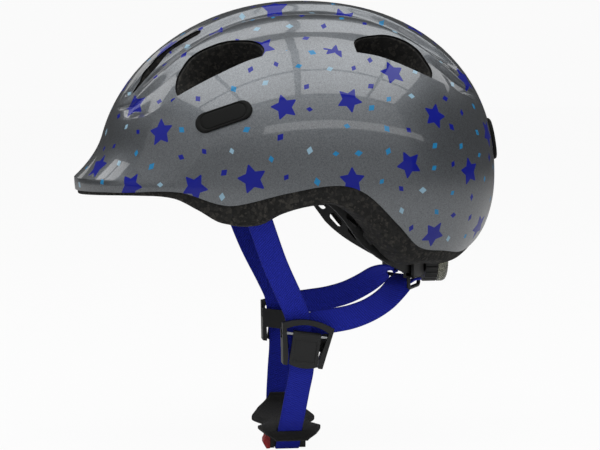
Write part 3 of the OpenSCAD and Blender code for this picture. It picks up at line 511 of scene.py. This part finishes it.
def cloth(t):
    # Brushed loop cloth with a fine nap
    nap = t.noise(1900, 5, 0.7)
    uneven = t.noise(90, 3)
    t.shade(Base_Color=t.blend(nap, srgb(20, 20, 21), srgb(52, 52, 55)), Roughness=0.95,
            Sheen_Weight=0.3, Sheen_Roughness=0.6, Specular_IOR_Level=0.15,
            Normal=t.bump(t.math("ADD", nap, uneven), 0.0003, 0.7))


def pad_foam(t):
    # Knitted fabric over soft foam
    x, y, _ = t.split(t.coords("weave"))
    knit = t.math("MULTIPLY", t.wave(x, 0.9), t.wave(y, 0.9))
    nap = t.noise(1700, 4, 0.7)
    t.shade(Base_Color=t.blend(nap, srgb(12, 12, 12), srgb(34, 34, 33)), Roughness=0.94,
            Sheen_Weight=0.15, Sheen_Roughness=0.6, Specular_IOR_Level=0.15,
            Normal=t.bump(t.math("ADD", t.math("MULTIPLY", knit, 0.6), nap), 0.00025, 0.7))


def clear_lens(t):
    # Clear plastic with fine vertical prisms
    prism = t.wave(t.split(t.coords())[0], 1.6 * MM)
    t.shade(Base_Color=(*srgb(226, 226, 210), 1), Roughness=0.12, Transmission_Weight=0.85,
            IOR=1.46, Normal=t.bump(prism, 0.0003, 0.7))


def board(t):
    trace = t.cells(700, spread=0.3)
    copper = t.math("GREATER_THAN", trace["Distance"], 0.55)
    t.shade(Base_Color=t.blend(copper, srgb(22, 84, 52), srgb(40, 120, 74)), Roughness=0.45,
            Normal=t.bump(trace["Distance"], 0.0001, 0.4))


def steel(t):
    brush = t.noise(800, 2, vector=t.scaled(t.coords(), (1, 1, 14)))
    t.shade(Base_Color=(*srgb(178, 180, 182), 1), Metallic=1.0,
            Roughness=t.math("MULTIPLY_ADD", brush, 0.2, 0.25))


strap_width, strap_thick = 15, 1.5
MATS = {name: material(name, build) for name, build in (
    ("shell_paint", shell_paint), ("eps_foam", eps_foam), ("badge_rubber", rubber),
    ("pad_cloth", cloth), ("pad_foam", pad_foam), ("webbing", webbing),
    ("black_plastic", moulded(srgb(17, 18, 18))), ("red_plastic", moulded(srgb(178, 28, 30), 0.4)),
    ("clear_lens", clear_lens), ("circuit_board", board), ("steel", steel))}


def dress(obj, slot_name, *cad):
    """Gives a new piece its material, and hides the CAD nodes that it stands for"""
    obj.data.materials.clear()
    obj.data.materials.append(MATS[slot_name])
    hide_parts(*cad)


# ---------------------------------------------------------------- printed pattern
side_badge_at, rear_badge_at = (57.6, 20.9), (180, 10)
print_dome = np.array([102, 123, 108.0])  # half sizes of the plain dome that the print lies on
side_badge_step, rear_badge_step = (6.2, 2.5), 4  # degrees between places that stand for a badge
cloud_size, cloud_low = 9000, -0.5  # the lowest point's elevation is given by its sine
rim_clear = 3
star_gap, diamond_gap = 34, 12.5
star_off_badge, diamond_off_badge, diamond_off_star = 15.5, 10, 13.5
star_radius, diamond_radius = (8.2, 9.6), (2.1, 2.9)
full_turn = 6.28
cloud_seeds, star_seed, diamond_seed, size_seed = (5, 6), 11, 12, 3


def scatter(surface, gap, seed, keep_off):
    """Picks places at least gap apart from a cloud of points, and away from others"""
    rng = np.random.default_rng(seed)
    chosen = []
    for i in rng.permutation(len(surface)):
        p = surface[i]
        if any(np.linalg.norm(p - q) < g for q, g in keep_off):
            continue
        if all(np.linalg.norm(p - q) >= gap for q in chosen):
            chosen.append(p)
    return np.array(chosen)


def print_places():
    """Places of the stars, and of the small diamonds between them, all clear of the badges"""
    u = np.random.default_rng(cloud_seeds[0]).uniform(0, 360, cloud_size)
    rise = np.random.default_rng(cloud_seeds[1]).uniform(cloud_low, 1, cloud_size)
    v = np.degrees(np.arcsin(rise))
    on_shell = v > level(u, along(shell_rim, fold(u)) + rim_clear)
    cloud = skin(u[on_shell], v[on_shell], 0)
    badges = [skin(s * (side_badge_at[0] + side_badge_step[0] * k),
                   side_badge_at[1] + side_badge_step[1] * k, 0)
              for s in (1, -1) for k in (-1, 0, 1)]
    badges += [skin(rear_badge_at[0] + rear_badge_step * k, rear_badge_at[1], 0)
               for k in (-2, -1, 0, 1, 2)]
    stars = scatter(cloud, star_gap, star_seed, [(b, star_off_badge) for b in badges])
    keep_off = [(b, diamond_off_badge) for b in badges] + [(s, diamond_off_star) for s in stars]
    return stars, scatter(cloud, diamond_gap, diamond_seed, keep_off)


def decal_coords(centres, corners, face_loops, sizes, turns):
    """Per face: the nearest centre, and in it the place of each corner on its tangent plane"""
    normals = (centres - dome_mid) / print_dome**2
    normals = normals / np.linalg.norm(normals, axis=1, keepdims=True)
    mid = np.array([corners[f].mean(0) for f in face_loops])
    result = np.full((len(corners), 2), FAR)
    owner = np.zeros(len(face_loops), int)
    best = np.full(len(mid), np.inf)
    for k, c in enumerate(centres):
        d = np.linalg.norm(mid - c, axis=1)
        near = d < best
        best[near], owner[near] = d[near], k
    up = np.array([0, 0, 1.0])
    frames = []
    for k, n in enumerate(normals):
        a = np.cross(up, n) if abs(n[2]) < 0.98 else np.array([1.0, 0, 0])
        a /= np.linalg.norm(a)
        b = np.cross(n, a)
        c, s = math.cos(turns[k]), math.sin(turns[k])
        frames.append((a * c + b * s, b * c - a * s))
    # A corner keeps its true distance from the centre, so that a decal isn't squeezed by the curve
    for idx, k in zip(face_loops, owner):
        d = corners[idx] - centres[k]
        a, b = frames[k]
        flat = np.stack([d @ a, d @ b], 1)
        r = np.linalg.norm(flat, axis=1, keepdims=True)
        true = np.linalg.norm(d, axis=1, keepdims=True)
        result[idx] = flat * np.where(r > 1e-6, true / np.maximum(r, 1e-6), 1) / sizes[k]
    return result, owner


def print_layers(verts, faces, n_outside):
    """The coordinates of the print at the faces' corners; the first n_outside faces carry it"""
    stars, small = print_places()
    starts = np.cumsum([0] + [len(f) for f in faces])
    corners = verts[np.concatenate([np.array(f) for f in faces])]
    loops_of = [np.arange(starts[k], starts[k + 1]) for k in range(n_outside)]
    rng = np.random.default_rng(size_seed)
    star_uv, _ = decal_coords(stars, corners, loops_of, rng.uniform(*star_radius, len(stars)),
                              rng.uniform(0, full_turn, len(stars)))
    small_uv, owner = decal_coords(small, corners, loops_of,
                                   rng.uniform(*diamond_radius, len(small)),
                                   rng.uniform(0, full_turn, len(small)))
    tints = rng.uniform(0, 1, len(small))
    tint_uv = np.full((len(corners), 2), FAR)
    # The faces along the rim come last; without a print, but with a tint, they show plain metal
    tint_uv[starts[-1 - COLS]:] = 0
    for loops, k in zip(loops_of, owner):
        tint_uv[loops] = (tints[k], 0)
    return {"star": star_uv, "diamond": small_uv, "tint": tint_uv}


# ---------------------------------------------------------------- shell and liner
COLS = 360
LIP_ROWS, SIDE_ROWS, TOP_ROWS, BOWL_ROWS = 4, 26, 18, 30
EDGE_ROWS, CHANNEL_ROWS = (0.12, 0.4, 0.7, 0.92), (5, 7, 7, 7)
CUT_REACH = (50, 150)  # the vents' cutters run between these distances from the middle
vent_margin = 0.6  # degrees from the crease to the vents
foam_vent = 0.95  # size of a vent in the foam, as a share of its size in the shell


def row_levels(u):
    """Elevations of the mesh's rows from the rim to the top, close together at the folds"""
    f = fold(u)
    rim, lip = level(u, along(shell_rim, f)), level(u, along(shell_rim, f) + lip_height)
    places, _ = channel_form(f)
    rows = [mix(rim, lip, k / LIP_ROWS) for k in range(LIP_ROWS)]
    rows += [mix(lip, places[0], k / SIDE_ROWS) for k in range(SIDE_ROWS + 1)]
    rows += [places[0] + edge_outer * s for s in EDGE_ROWS]
    for start, end, steps in zip(places[1:], places[2:], CHANNEL_ROWS):
        rows += [mix(start, end, i / steps) for i in range(steps)]
    rows += [mix(places[-1], 90, k / TOP_ROWS) for k in range(TOP_ROWS)]
    return np.array(rows)


def vent_cutter(outline, grow, steps, layers=()):
    """A cutter for the opening on each side"""
    p = np.array(outline, float)
    mid = p.mean(0)
    loop = spline(mid + (p - mid) * grow, steps, True)
    n = len(loop)
    faces = [tuple(range(n))[::-1], tuple(range(n, 2 * n))]
    faces += [(i, (i + 1) % n, n + (i + 1) % n, n + i) for i in range(n)]
    uvs = {layer: np.full((sum(len(f) for f in faces), 2), FAR) for layer in layers}
    out = []
    for flip in (1, -1):
        verts = [dome_mid + r * heading(flip * q[0], q[1]) for r in CUT_REACH for q in loop]
        c = new_object("cutter", verts, faces, None, True, uvs)
        fix_normals(c)
        out.append(c)
    return out


def on_crease(angles):
    return [[u, float(along(crease, u)) + vent_margin] for u in angles]


front_vent = [[36.3, 26.8], [32.5, 30], [29.8, 35.8], [30.5, 41.6], [35, 46.6], [43, 51],
              [54, 52.6], [61.5, 51.4], [66, 47.8]] + on_crease([63.5, 55, 47, 40])
rear_vent = [[111.3, 47.5], [113, 51.3], [119, 53], [127, 53], [135, 51.4], [141.5, 46.8],
             [144.6, 40.5], [143, 34.5]] + on_crease([137, 128, 119, 112])
slit_vent = [[12.9, 25.6], [11.9, 29], [11.7, 33], [11.9, 37], [12.6, 41], [14.3, 45.2],
             [16.3, 49.2], [18.9, 53], [19.9, 52.3], [18.3, 48.8], [16.5, 45], [14.9, 41],
             [14.1, 37], [13.8, 33], [13.9, 29], [13.8, 26.2]]
vents = [front_vent, rear_vent, slit_vent]


def shell_solid():
    """Points of the shell, the faces of its outside, and then the other faces"""
    u = np.arange(COLS) * 360 / COLS
    levels = row_levels(u)
    verts = np.concatenate([part for inset in (0, shell_wall) for part in
                            (*(skin(u, v, inset) for v in levels), [skin(0, 90, inset)])])
    top = len(levels) * COLS
    outside = ring_faces(len(levels), COLS)
    outside += [(top - COLS + i, top - COLS + (i + 1) % COLS, top) for i in range(COLS)]
    base = top + 1
    inside = [tuple(base + k for k in f[::-1]) for f in outside]
    rim = [(i, base + i, base + (i + 1) % COLS, (i + 1) % COLS) for i in range(COLS)]
    return verts, outside, inside + rim


def build_shell():
    verts, outside, others = shell_solid()
    faces = outside + others
    layers = print_layers(verts, faces, len(outside))
    shell = new_object("shell", verts, faces, uvs=layers)
    cut(shell, [c for v in vents for c in vent_cutter(v, 1, 10, layers)])
    crisp(shell, 28)
    dress(shell, "shell_paint", "outer_shell")


def build_liner():
    foot_step = 2  # the foot's inside is this much higher than its outside
    foot_lie = -10.0  # elevation at which the hollow's reach is taken for the foot
    foot_round, front_round = 8, 0.6  # how far the foot bulges down, and its share under the peak
    bowl_top = 88
    u = np.arange(COLS) * 360 / COLS
    f = fold(u)
    inset = shell_wall + seat
    levels = row_levels(u)
    foot_v = level(u, along(foam_rim, f))
    height = along(foam_rim, f) + foot_step - dome_mid[2]
    foot_in = np.degrees(np.arcsin(height / reach(u, np.full_like(u, foot_lie), head_half)))
    inner_foot, outer_foot = hollow(u, foot_in, 0), skin(u, foot_v, inset)
    rings = [hollow(u, mix(bowl_top, foot_in, k / BOWL_ROWS), 0) for k in range(BOWL_ROWS)]
    rings.append(inner_foot)
    drop = np.where(f < peak_span, front_round, 1) * foot_round
    for s in (0.08, 0.2, 0.35, 0.5, 0.65, 0.8, 0.92):
        ring = mix(inner_foot, outer_foot, s)
        ring[:, 2] -= drop * s * (1 - s)
        rings.append(ring)
    rings.append(outer_foot)
    rings += [skin(u, mix(foot_v, levels[0], s), inset) for s in (0.35, 0.7)]
    rings += [skin(u, v, inset) for v in levels]
    verts = np.concatenate(rings + [[hollow(0, 90, 0)], [skin(0, 90, inset)]])
    liner = new_object("liner", verts, ring_faces(len(rings), COLS) + end_fans(len(rings), COLS))
    fix_normals(liner)
    cut(liner, [c for v in vents for c in vent_cutter(v, foam_vent, 8)])
    crisp(liner, 32)
    dress(liner, "eps_foam", "eps_liner")


# ---------------------------------------------------------------- patches and pads
patch_foot = 0.35  # height of a patch's underside over the shell


def patch(name, at, outline, profile):
    """Closed patch over the shell: profile lists [share of the outline, height]"""
    r = float(reach(np.array(at[0]), np.array(at[1]), dome_half))
    p = np.array(outline, float)

    def ring(share, lift):
        q = p * share
        uu = at[0] + np.degrees(q[:, 0] / (r * math.cos(math.radians(at[1]))))
        return skin(uu, at[1] + np.degrees(q[:, 1] / r), -lift)

    rings = [ring(s, h) for s, h in profile]
    rings += [ring(s, patch_foot) for s in (1, 0.75, 0.5, 0.25)]
    verts = np.concatenate(rings + [[skin(*at, -profile[0][1])], [skin(*at, -patch_foot)]])
    obj = new_object(name, verts, ring_faces(len(rings), len(p)) + end_fans(len(rings), len(p)))
    fix_normals(obj)
    return obj


def stadium(length, width, n, steps):
    """Outline with straight sides and round ends, n steps round each end"""
    run, r = length - width, width / 2
    turn = [math.pi * k / n for k in range(n + 1)]
    out = [[run / 2 + r * math.sin(a), -r * math.cos(a)] for a in turn]
    out += [[run / 2 - run * k / steps, r] for k in range(1, steps)]
    out += [[-run / 2 - r * math.sin(a), r * math.cos(a)] for a in turn]
    out += [[-run / 2 + run * k / steps, -r] for k in range(1, steps)]
    return out


def build_badges():
    badge_length, badge_width, badge_turn = 35, 12, math.radians(23)
    c, s = math.cos(badge_turn), math.sin(badge_turn)
    pts = np.array(stadium(badge_length, badge_width, 16, 24)) @ np.array([[c, s], [-s, c]])
    # A sunk face inside a raised rim line
    profile = [(0.12, 1.75), (0.35, 1.75), (0.6, 1.75), (0.745, 1.75), (0.765, 1.7), (0.775, 1.5),
               (0.79, 1.42), (0.81, 1.5), (0.82, 1.75), (0.84, 1.9), (0.9, 1.9), (0.95, 1.75),
               (0.985, 1.3), (1.0, 0.75)]
    for name, sign in (("side_badge_left", 1), ("side_badge_right", -1)):
        obj = patch(name + "_dressed", side_badge_at, pts, profile)
        if sign < 0:
            co = np.array([v.co for v in obj.data.vertices]) * [-1, 1, 1]
            obj.data.vertices.foreach_set("co", co.ravel())
            fix_normals(obj)
        crisp(obj, 60)
        dress(obj, "badge_rubber", name)
    # The rear badge's outline is a rounded rectangle
    rear_half, rounding = (23, 13), 0.5
    t = np.radians(np.arange(0, 360, 4))
    c, s = np.cos(t), np.sin(t)
    pts = np.stack([np.sign(c) * rear_half[0] * abs(c) ** rounding,
                    np.sign(s) * rear_half[1] * abs(s) ** rounding], 1)
    profile = [(0.1, 1.8), (0.4, 1.8), (0.7, 1.8), (0.78, 1.8), (0.8, 1.6), (0.825, 1.55),
               (0.84, 1.7), (0.85, 2.1), (0.92, 2.1), (0.965, 1.9), (0.99, 1.4), (1.0, 0.8)]
    obj = patch("rear_badge_dressed", rear_badge_at, pts, profile)
    crisp(obj, 60)
    dress(obj, "badge_rubber", "rear_badge")


def crown_place(back, side):
    """Azimuth and elevation of a place so far back and to the side from the top"""
    back, side = np.radians(back), np.radians(side)
    d = np.stack(np.broadcast_arrays(np.sin(side), np.cos(side) * np.sin(back),
                                     np.cos(side) * np.cos(back)), -1)
    return np.degrees(np.arctan2(d[..., 0], -d[..., 1])), np.degrees(np.arcsin(d[..., 2]))


pad_gap, pad_thick, pad_edge = 0.8, 5, 0.25  # the edge's thickness is a share of the pad's
pad_pinch = 0.08  # how much narrower a pad is in its middle
groove_width, groove_depth = 0.022, 0.45
seam_at, seam_depth = 0.9, 0.12


def pad(name, start, end, bow, on_crown=False, mirror=False, channels=()):
    """A cushion on the head's hollow between two corners, with sewn channels across it"""
    n, m = 72, 36
    s = np.linspace(-1, 1, n + 1)[:, None]
    t = np.linspace(-1, 1, m + 1)[None, :]
    pinch = 1 - pad_pinch * (1 - abs(s))
    uu = mix(start[0], end[0], (s + 1) / 2) + 0 * t
    vv = mix(start[1], end[1], 0.5 + t / 2 * (1 - bow * s * s) * pinch)
    crown = (1 - abs(s) ** 8) * (1 - abs(t) ** 5)
    groove = sum((np.exp(-((s - g) / groove_width) ** 2) for g in channels), 0)
    seam = np.exp(-((np.maximum(abs(s), abs(t)) - seam_at) / 0.03) ** 2) * seam_depth
    swell = (1 - pad_edge) * crown * (1 - groove_depth * np.clip(groove, 0, 1))
    depth = pad_thick * (pad_edge + swell - seam * (crown > 0.05))
    a, b = crown_place(uu, vv) if on_crown else (uu, vv)
    near = hollow(a, b, pad_gap + depth)
    far = hollow(a, b, np.full_like(depth, pad_gap))
    verts = np.concatenate([near.reshape(-1, 3), far.reshape(-1, 3)])
    if mirror:
        verts = verts * [-1, 1, 1]
    obj = new_object(name + "_dressed", verts, sheet_faces(n, m))
    fix_normals(obj)
    dress(obj, "pad_cloth", name)


def build_pads():
    pad("brow_pad", (-44, 4), (44, 19), 0.4, channels=(-0.34, 0.34))
    pad("crown_pad", (-34, -12), (34, 12), 0.3, on_crown=True, channels=(0.0,))
    pad("side_pad_left", (66, 26), (122, 38), 0.35)
    pad("side_pad_right", (66, 26), (122, 38), 0.35, mirror=True)


# ---------------------------------------------------------------- webbing
# A route lists points and, at each, the direction across the strap
down_front, down_side = [0, 0.92, 0.39], [0, 1, 0]
strap_x = 53.2
front_route = [([76.5, -30.5, 4], down_front), ([75.5, -27, -5], down_front),
               ([67, -17.5, -30], down_front), ([57, -7, -52], down_front),
               ([strap_x, -2.2, -64], [0, 0.97, 0.2]), ([strap_x, -0.6, -79], [0, 1, -0.05]),
               ([strap_x - 0.6, 0.4, -94], [0, 1, -0.04])]
left_lower = [([46, -1.4, -110], down_side), ([37, -3.2, -127], down_side),
              ([31.5, -3.8, -134], down_side), ([27.5, -4.1, -139.5], down_side)]
right_lower = [([46, -1.4, -110], down_side), ([38.5, -3.2, -127], down_side),
               ([29, -4.2, -138], down_side), ([22, -4.5, -144], down_side),
               ([18, -4.5, -147.4], down_side), ([14.8, -4.5, -148.3], down_side),
               ([12.6, -4.5, -147.2], down_side), ([11.9, -4.5, -144.5], down_side)]
end_route = [([27.3, -4.1, -139.9], down_side), ([25.3, -4.3, -144], down_side),
             ([22.6, -4.5, -148], down_side), ([19.8, -4.5, -149.2], down_side),
             ([17.4, -4.5, -148.4], down_side), ([16.7, -4.5, -145.6], down_side)]
ring_radius, ring_mid = 75, 5  # the fit ring, which the cradle's loops lie on
loop_turn = math.radians(64)
loop_across = [-math.sin(loop_turn), math.cos(loop_turn), 0]
loop_at = np.array([ring_radius * math.cos(loop_turn),
                    ring_mid + ring_radius * math.sin(loop_turn), -42.2])
rear_x = strap_x - 2.2
rear_route = [([rear_x, 1.5, -70], [0, -0.35, 1]), ([rear_x, 10, -67.5], [0, -0.15, 1]),
              ([51, 19, -66.3], [0, 0, 1]), ([49.5, 31, -64.4], [0, -0.1, 1]),
              ([46, 43, -60.6], [0, -0.15, 1]), ([41.5, 54, -54.4], [-0.15, -0.3, 0.9]),
              (loop_at + [0.4, -7.6, -3.4], [-0.6, -0.05, 0.6]),
              (loop_at + [0, -2, -2.4], loop_across), (loop_at + [-1, 2, -1.7], loop_across)]


def strap_section():
    """A flat band with rounded selvedges"""
    half, r = strap_width / 2, strap_thick / 2
    flat = np.linspace(-half + r, half - r, 9)
    turn = np.radians([30, 60, 90, 120, 150])
    section = [(x, -r) for x in flat]
    section += [(half - r + r * math.sin(a), -r * math.cos(a)) for a in turn]
    section += [(x, r) for x in np.linspace(half - r, -half + r, 9)]
    section += [(-half + r - r * math.sin(a), r * math.cos(a)) for a in turn]
    return section


def ribbon(name, route, mirror=False, steps=10):
    """A strap along a route; its weave layer holds the places along and across it"""
    path = spline([r[0] for r in route], steps)
    wide = spline([r[1] for r in route], steps)
    section = strap_section()
    n = len(section)
    verts, arc = [], [0.0]
    for i in range(len(path)):
        t = path[min(i + 1, len(path) - 1)] - path[max(i - 1, 0)]
        t /= np.linalg.norm(t)
        w = wide[i] - (wide[i] @ t) * t
        w /= np.linalg.norm(w)
        d = np.cross(t, w)
        if i:
            arc.append(arc[-1] + np.linalg.norm(path[i] - path[i - 1]))
        verts += [path[i] + w * x + d * y for x, y in section]
    verts = np.array(verts)
    if mirror:
        verts = verts * [-1, 1, 1]
    faces = ring_faces(len(path), n)
    faces += [tuple(range(n))[::-1], tuple(range((len(path) - 1) * n, len(path) * n))]
    uv = [(arc[k // n], section[k % n][0]) for f in faces for k in f]
    obj = new_object(name, verts, faces, None, True, {"weave": uv})
    fix_normals(obj)
    crisp(obj, 70)
    return obj


def build_straps():
    for side, lower in (("left", left_lower), ("right", right_lower)):
        flip = side == "right"
        strap = ribbon(f"front_strap_{side}_web", front_route + lower, flip)
        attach(strap, "helmet")
        dress(strap, "webbing", f"front_strap_{side}")
        rear = ribbon(f"rear_strap_{side}_web", rear_route, flip, 12)
        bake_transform(rear)
        dress(rear, "webbing", f"rear_strap_{side}")
    end = ribbon("strap_end_left_web", end_route)
    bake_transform(end)
    dress(end, "webbing", "strap_end_left")


# ---------------------------------------------------------------- chin pad
# The pad's route in the plane of x and z, and its half width along it
chin_route = [[-34, -123.5], [-28.5, -130.5], [-17, -135.2], [-3, -136.8], [11, -136.8],
              [21, -136.6], [28.5, -138.6], [33, -142.5]]
chin_wide = [[0, 6], [0.2, 15.5], [0.34, 20], [0.5, 14.5], [0.66, 19.5], [0.86, 16], [1, 10]]
chin_y, chin_thick, chin_edge = -3, 5, 0.3
slot_turn, slot_at = math.radians(37), (29, -4, -136.6)
slot_half = np.array([1.6, 8.2, 15])


def slot_cutter():
    """The box that opens the chin pad for the strap"""
    c, s = math.cos(slot_turn), math.sin(slot_turn)
    corners = []
    for side in ((-1, -1, -1), (-1, -1, 1), (-1, 1, -1), (-1, 1, 1),
                 (1, -1, -1), (1, -1, 1), (1, 1, -1), (1, 1, 1)):
        x, y, z = slot_half * side
        corners.append((slot_at[0] + x * c + z * s, slot_at[1] + y, slot_at[2] - x * s + z * c))
    faces = [(0, 1, 3, 2), (4, 6, 7, 5), (0, 4, 5, 1), (2, 3, 7, 6), (0, 2, 6, 4), (1, 5, 7, 3)]
    uv = [(corners[k][2], corners[k][1]) for f in faces for k in f]
    cutter = new_object("cutter", corners, faces, None, False, {"weave": uv})
    fix_normals(cutter)
    return cutter


def build_chin_pad():
    path = spline(chin_route, 12)
    n, m = len(path) - 1, 36
    near, far = [], []
    for i in range(n + 1):
        q = path[min(i + 1, n)] - path[max(i - 1, 0)]
        d = np.array([-q[1], q[0]]) / np.linalg.norm(q)
        for k in range(m + 1):
            t, s = 2 * k / m - 1, 2 * i / n - 1
            seam = seam_depth * math.exp(-((max(abs(t), abs(s)) - seam_at) / 0.035) ** 2)
            swell = (1 - chin_edge) * (1 - abs(t) ** 5) * (1 - abs(s) ** 10)
            h = chin_thick / 2 * (chin_edge + swell - seam)
            y = chin_y + float(along(chin_wide, i / n)) * t
            near.append((path[i][0] - d[0] * h, y, path[i][1] - d[1] * h))
            far.append((path[i][0] + d[0] * h, y, path[i][1] + d[1] * h))
    verts = np.array(near + far)
    faces = sheet_faces(n, m)
    uv = [(verts[x][0], verts[x][1]) for f in faces for x in f]
    obj = new_object("chin_pad_dressed", verts, faces, uvs={"weave": uv})
    fix_normals(obj)
    cut(obj, [slot_cutter()])
    crisp(obj, 50)
    dress(obj, "pad_foam", "chin_pad")


# ---------------------------------------------------------------- carried-over solids
SLOTS = {s["node"]: s["material_slot"] for s in frame["record"]["subparts"]}
BEVELS = {"divider_frame": 1.1, "divider_lever": 0.6, "buckle_housing": 0.3, "buckle_tongue": 0.3,
          "release_tab": 0.4, "fit_arm": 0.3, "cradle": 0.3, "fit_dial": 0.3, "strap_anchor": 0.3,
          "temple_clip": 0.25, "cradle_pad": 0.8}


def finish_solid(name):
    """Gives a solid that stays as it is its material and its rounded edges"""
    obj = nodes[name]
    obj.data.materials.clear()
    obj.data.materials.append(MATS[SLOTS[name]])
    bevel = BEVELS.get(name.removesuffix("_left").removesuffix("_right"))
    if bevel:
        m = obj.modifiers.new("weld", "WELD")
        m.merge_threshold = 0.01 * MM
        m = obj.modifiers.new("edge", "BEVEL")
        m.width, m.segments, m.limit_method = bevel * MM, 3, "ANGLE"
        m.angle_limit = math.radians(35)
        m.use_clamp_overlap = True
        m.harden_normals = True


build_shell()
build_liner()
build_badges()
build_pads()
build_straps()
build_chin_pad()
for name in nodes:
    if not nodes[name].hide_render:
        finish_solid(name)


# ---------------------------------------------------------------- stage, light and camera
# Lengths from here on are metres
floor_half, floor_gap = 6, 0.002
paper_colour = (0.72, 0.72, 0.72, 1)
paper_share = 0.95  # share of plain white in what the camera sees of the paper
world_light, world_seen = 0.05, 0.957  # brightness for the lighting, and for the camera
roof = 1.25


def area(name, at, look, size, power):
    lamp = bpy.data.lights.new(name, "AREA")
    lamp.shape, lamp.size, lamp.size_y, lamp.energy = "RECTANGLE", size[0], size[1], power
    obj = bpy.data.objects.new(name, lamp)
    bpy.context.scene.collection.objects.link(obj)
    obj.location = at
    obj.rotation_euler = (Vector(look) - Vector(at)).to_track_quat("-Z", "Y").to_euler()


def pane(name, x, y, size, power):
    """A lamp in the roof that looks straight down"""
    area(name, (x, y, roof), (x, y, 0), size, power)


def wall(name, at, size, power):
    """An upright lamp beside the helmet that looks across it"""
    area(name, at, (0, *at[1:]), size, power)


def lit_for_camera(tree):
    """A value that is 1 for rays from the camera and 0 for the rest"""
    return tree.nodes.new("ShaderNodeLightPath").outputs["Is Camera Ray"]


scene = bpy.context.scene
floor_z = cad_box[0][2] - floor_gap
floor = new_object("floor", [(x * floor_half / MM, y * floor_half / MM, floor_z / MM)
                             for x, y in ((-1, -1), (1, -1), (1, 1), (-1, 1))],
                   [(0, 1, 2, 3)], None, False)
paper = bpy.data.materials.new("floor")
paper.use_nodes = True
pt = paper.node_tree
pt.nodes["Principled BSDF"].inputs["Base Color"].default_value = paper_colour
pt.nodes["Principled BSDF"].inputs["Roughness"].default_value = 0.9
floor.data.materials.append(paper)

# The camera sees the paper almost white, and it keeps a faint shadow
glow = pt.nodes.new("ShaderNodeEmission")
share = pt.nodes.new("ShaderNodeMath")
share.operation = "MULTIPLY"
share.inputs[1].default_value = paper_share
blend = pt.nodes.new("ShaderNodeMixShader")
pt.links.new(lit_for_camera(pt), share.inputs[0])
pt.links.new(share.outputs[0], blend.inputs[0])
pt.links.new(pt.nodes["Principled BSDF"].outputs[0], blend.inputs[1])
pt.links.new(glow.outputs[0], blend.inputs[2])
pt.links.new(blend.outputs[0], pt.nodes["Material Output"].inputs[0])

world = bpy.data.worlds.new("studio")
scene.world = world
world.use_nodes = True
wt = world.node_tree
bright = wt.nodes.new("ShaderNodeMapRange")
bright.inputs["To Min"].default_value = world_light
bright.inputs["To Max"].default_value = world_seen
wt.links.new(lit_for_camera(wt), bright.inputs["Value"])
wt.links.new(bright.outputs[0], wt.nodes["Background"].inputs["Strength"])
wt.nodes["Background"].inputs["Color"].default_value = (1, 1, 1, 1)

# The panes of a roof window, each with its centre, its half size and the same brightness
for i, (x, dx) in enumerate(((0.13, 0.43), (0.88, 0.28))):
    for j, (y, dy) in enumerate(((-1.15, 0.31), (-0.43, 0.36), (0.385, 0.385), (1.07, 0.25))):
        pane(f"pane_{i}{j}", x, y, (2 * dx, 2 * dy), 28 * dx * dy)
# Smaller panes, seen on the crown's front and rear
for j, (x, width) in enumerate(((-1.27, 0.45), (-0.76, 0.42))):
    pane(f"front_pane_{j}", x, -1.65, (width, 1.1), 7.7 * width)
pane("rear_pane", -0.95, 1.8, (0.85, 0.75), 3.2)
area("front_wall", (0.7, -2.5, 0.8), (0, 0, 0), (2.0, 1.4), 3)
# A tall wall of soft light on the camera's side, brighter above, with a ledge beside it
wall("wall_low", (2.4, -0.3, 0.05), (6.2, 0.5), 2.6)
wall("wall_middle", (2.4, -0.3, 0.68), (6.2, 0.72), 2.6)
wall("wall_high", (2.4, -0.3, 1.75), (6.2, 1.4), 11.5)
wall("ledge", (2.35, 1.6, 1.2), (4.8, 0.26), 6)
# A faint light on the far side, for the crown's edge
wall("far_wall", (-2.4, -0.71, 1.1), (0.72, 1.05), 1.6)

azimuth, elevation, distance = math.radians(82.5), math.radians(5), 1.4
target = Vector((0, 0.00625, -0.0125))
cam_data = bpy.data.cameras.new("camera")
cam_data.lens, cam_data.sensor_width = 134.4, 36
cam_data.clip_start = 0.05
cam = bpy.data.objects.new("camera", cam_data)
scene.collection.objects.link(cam)
cam.location = target + distance * Vector((math.sin(azimuth) * math.cos(elevation),
                                           -math.cos(azimuth) * math.cos(elevation),
                                           math.sin(elevation)))
cam.rotation_euler = (target - cam.location).to_track_quat("-Z", "Y").to_euler()
scene.camera = cam
scene.view_settings.view_transform = "Standard"
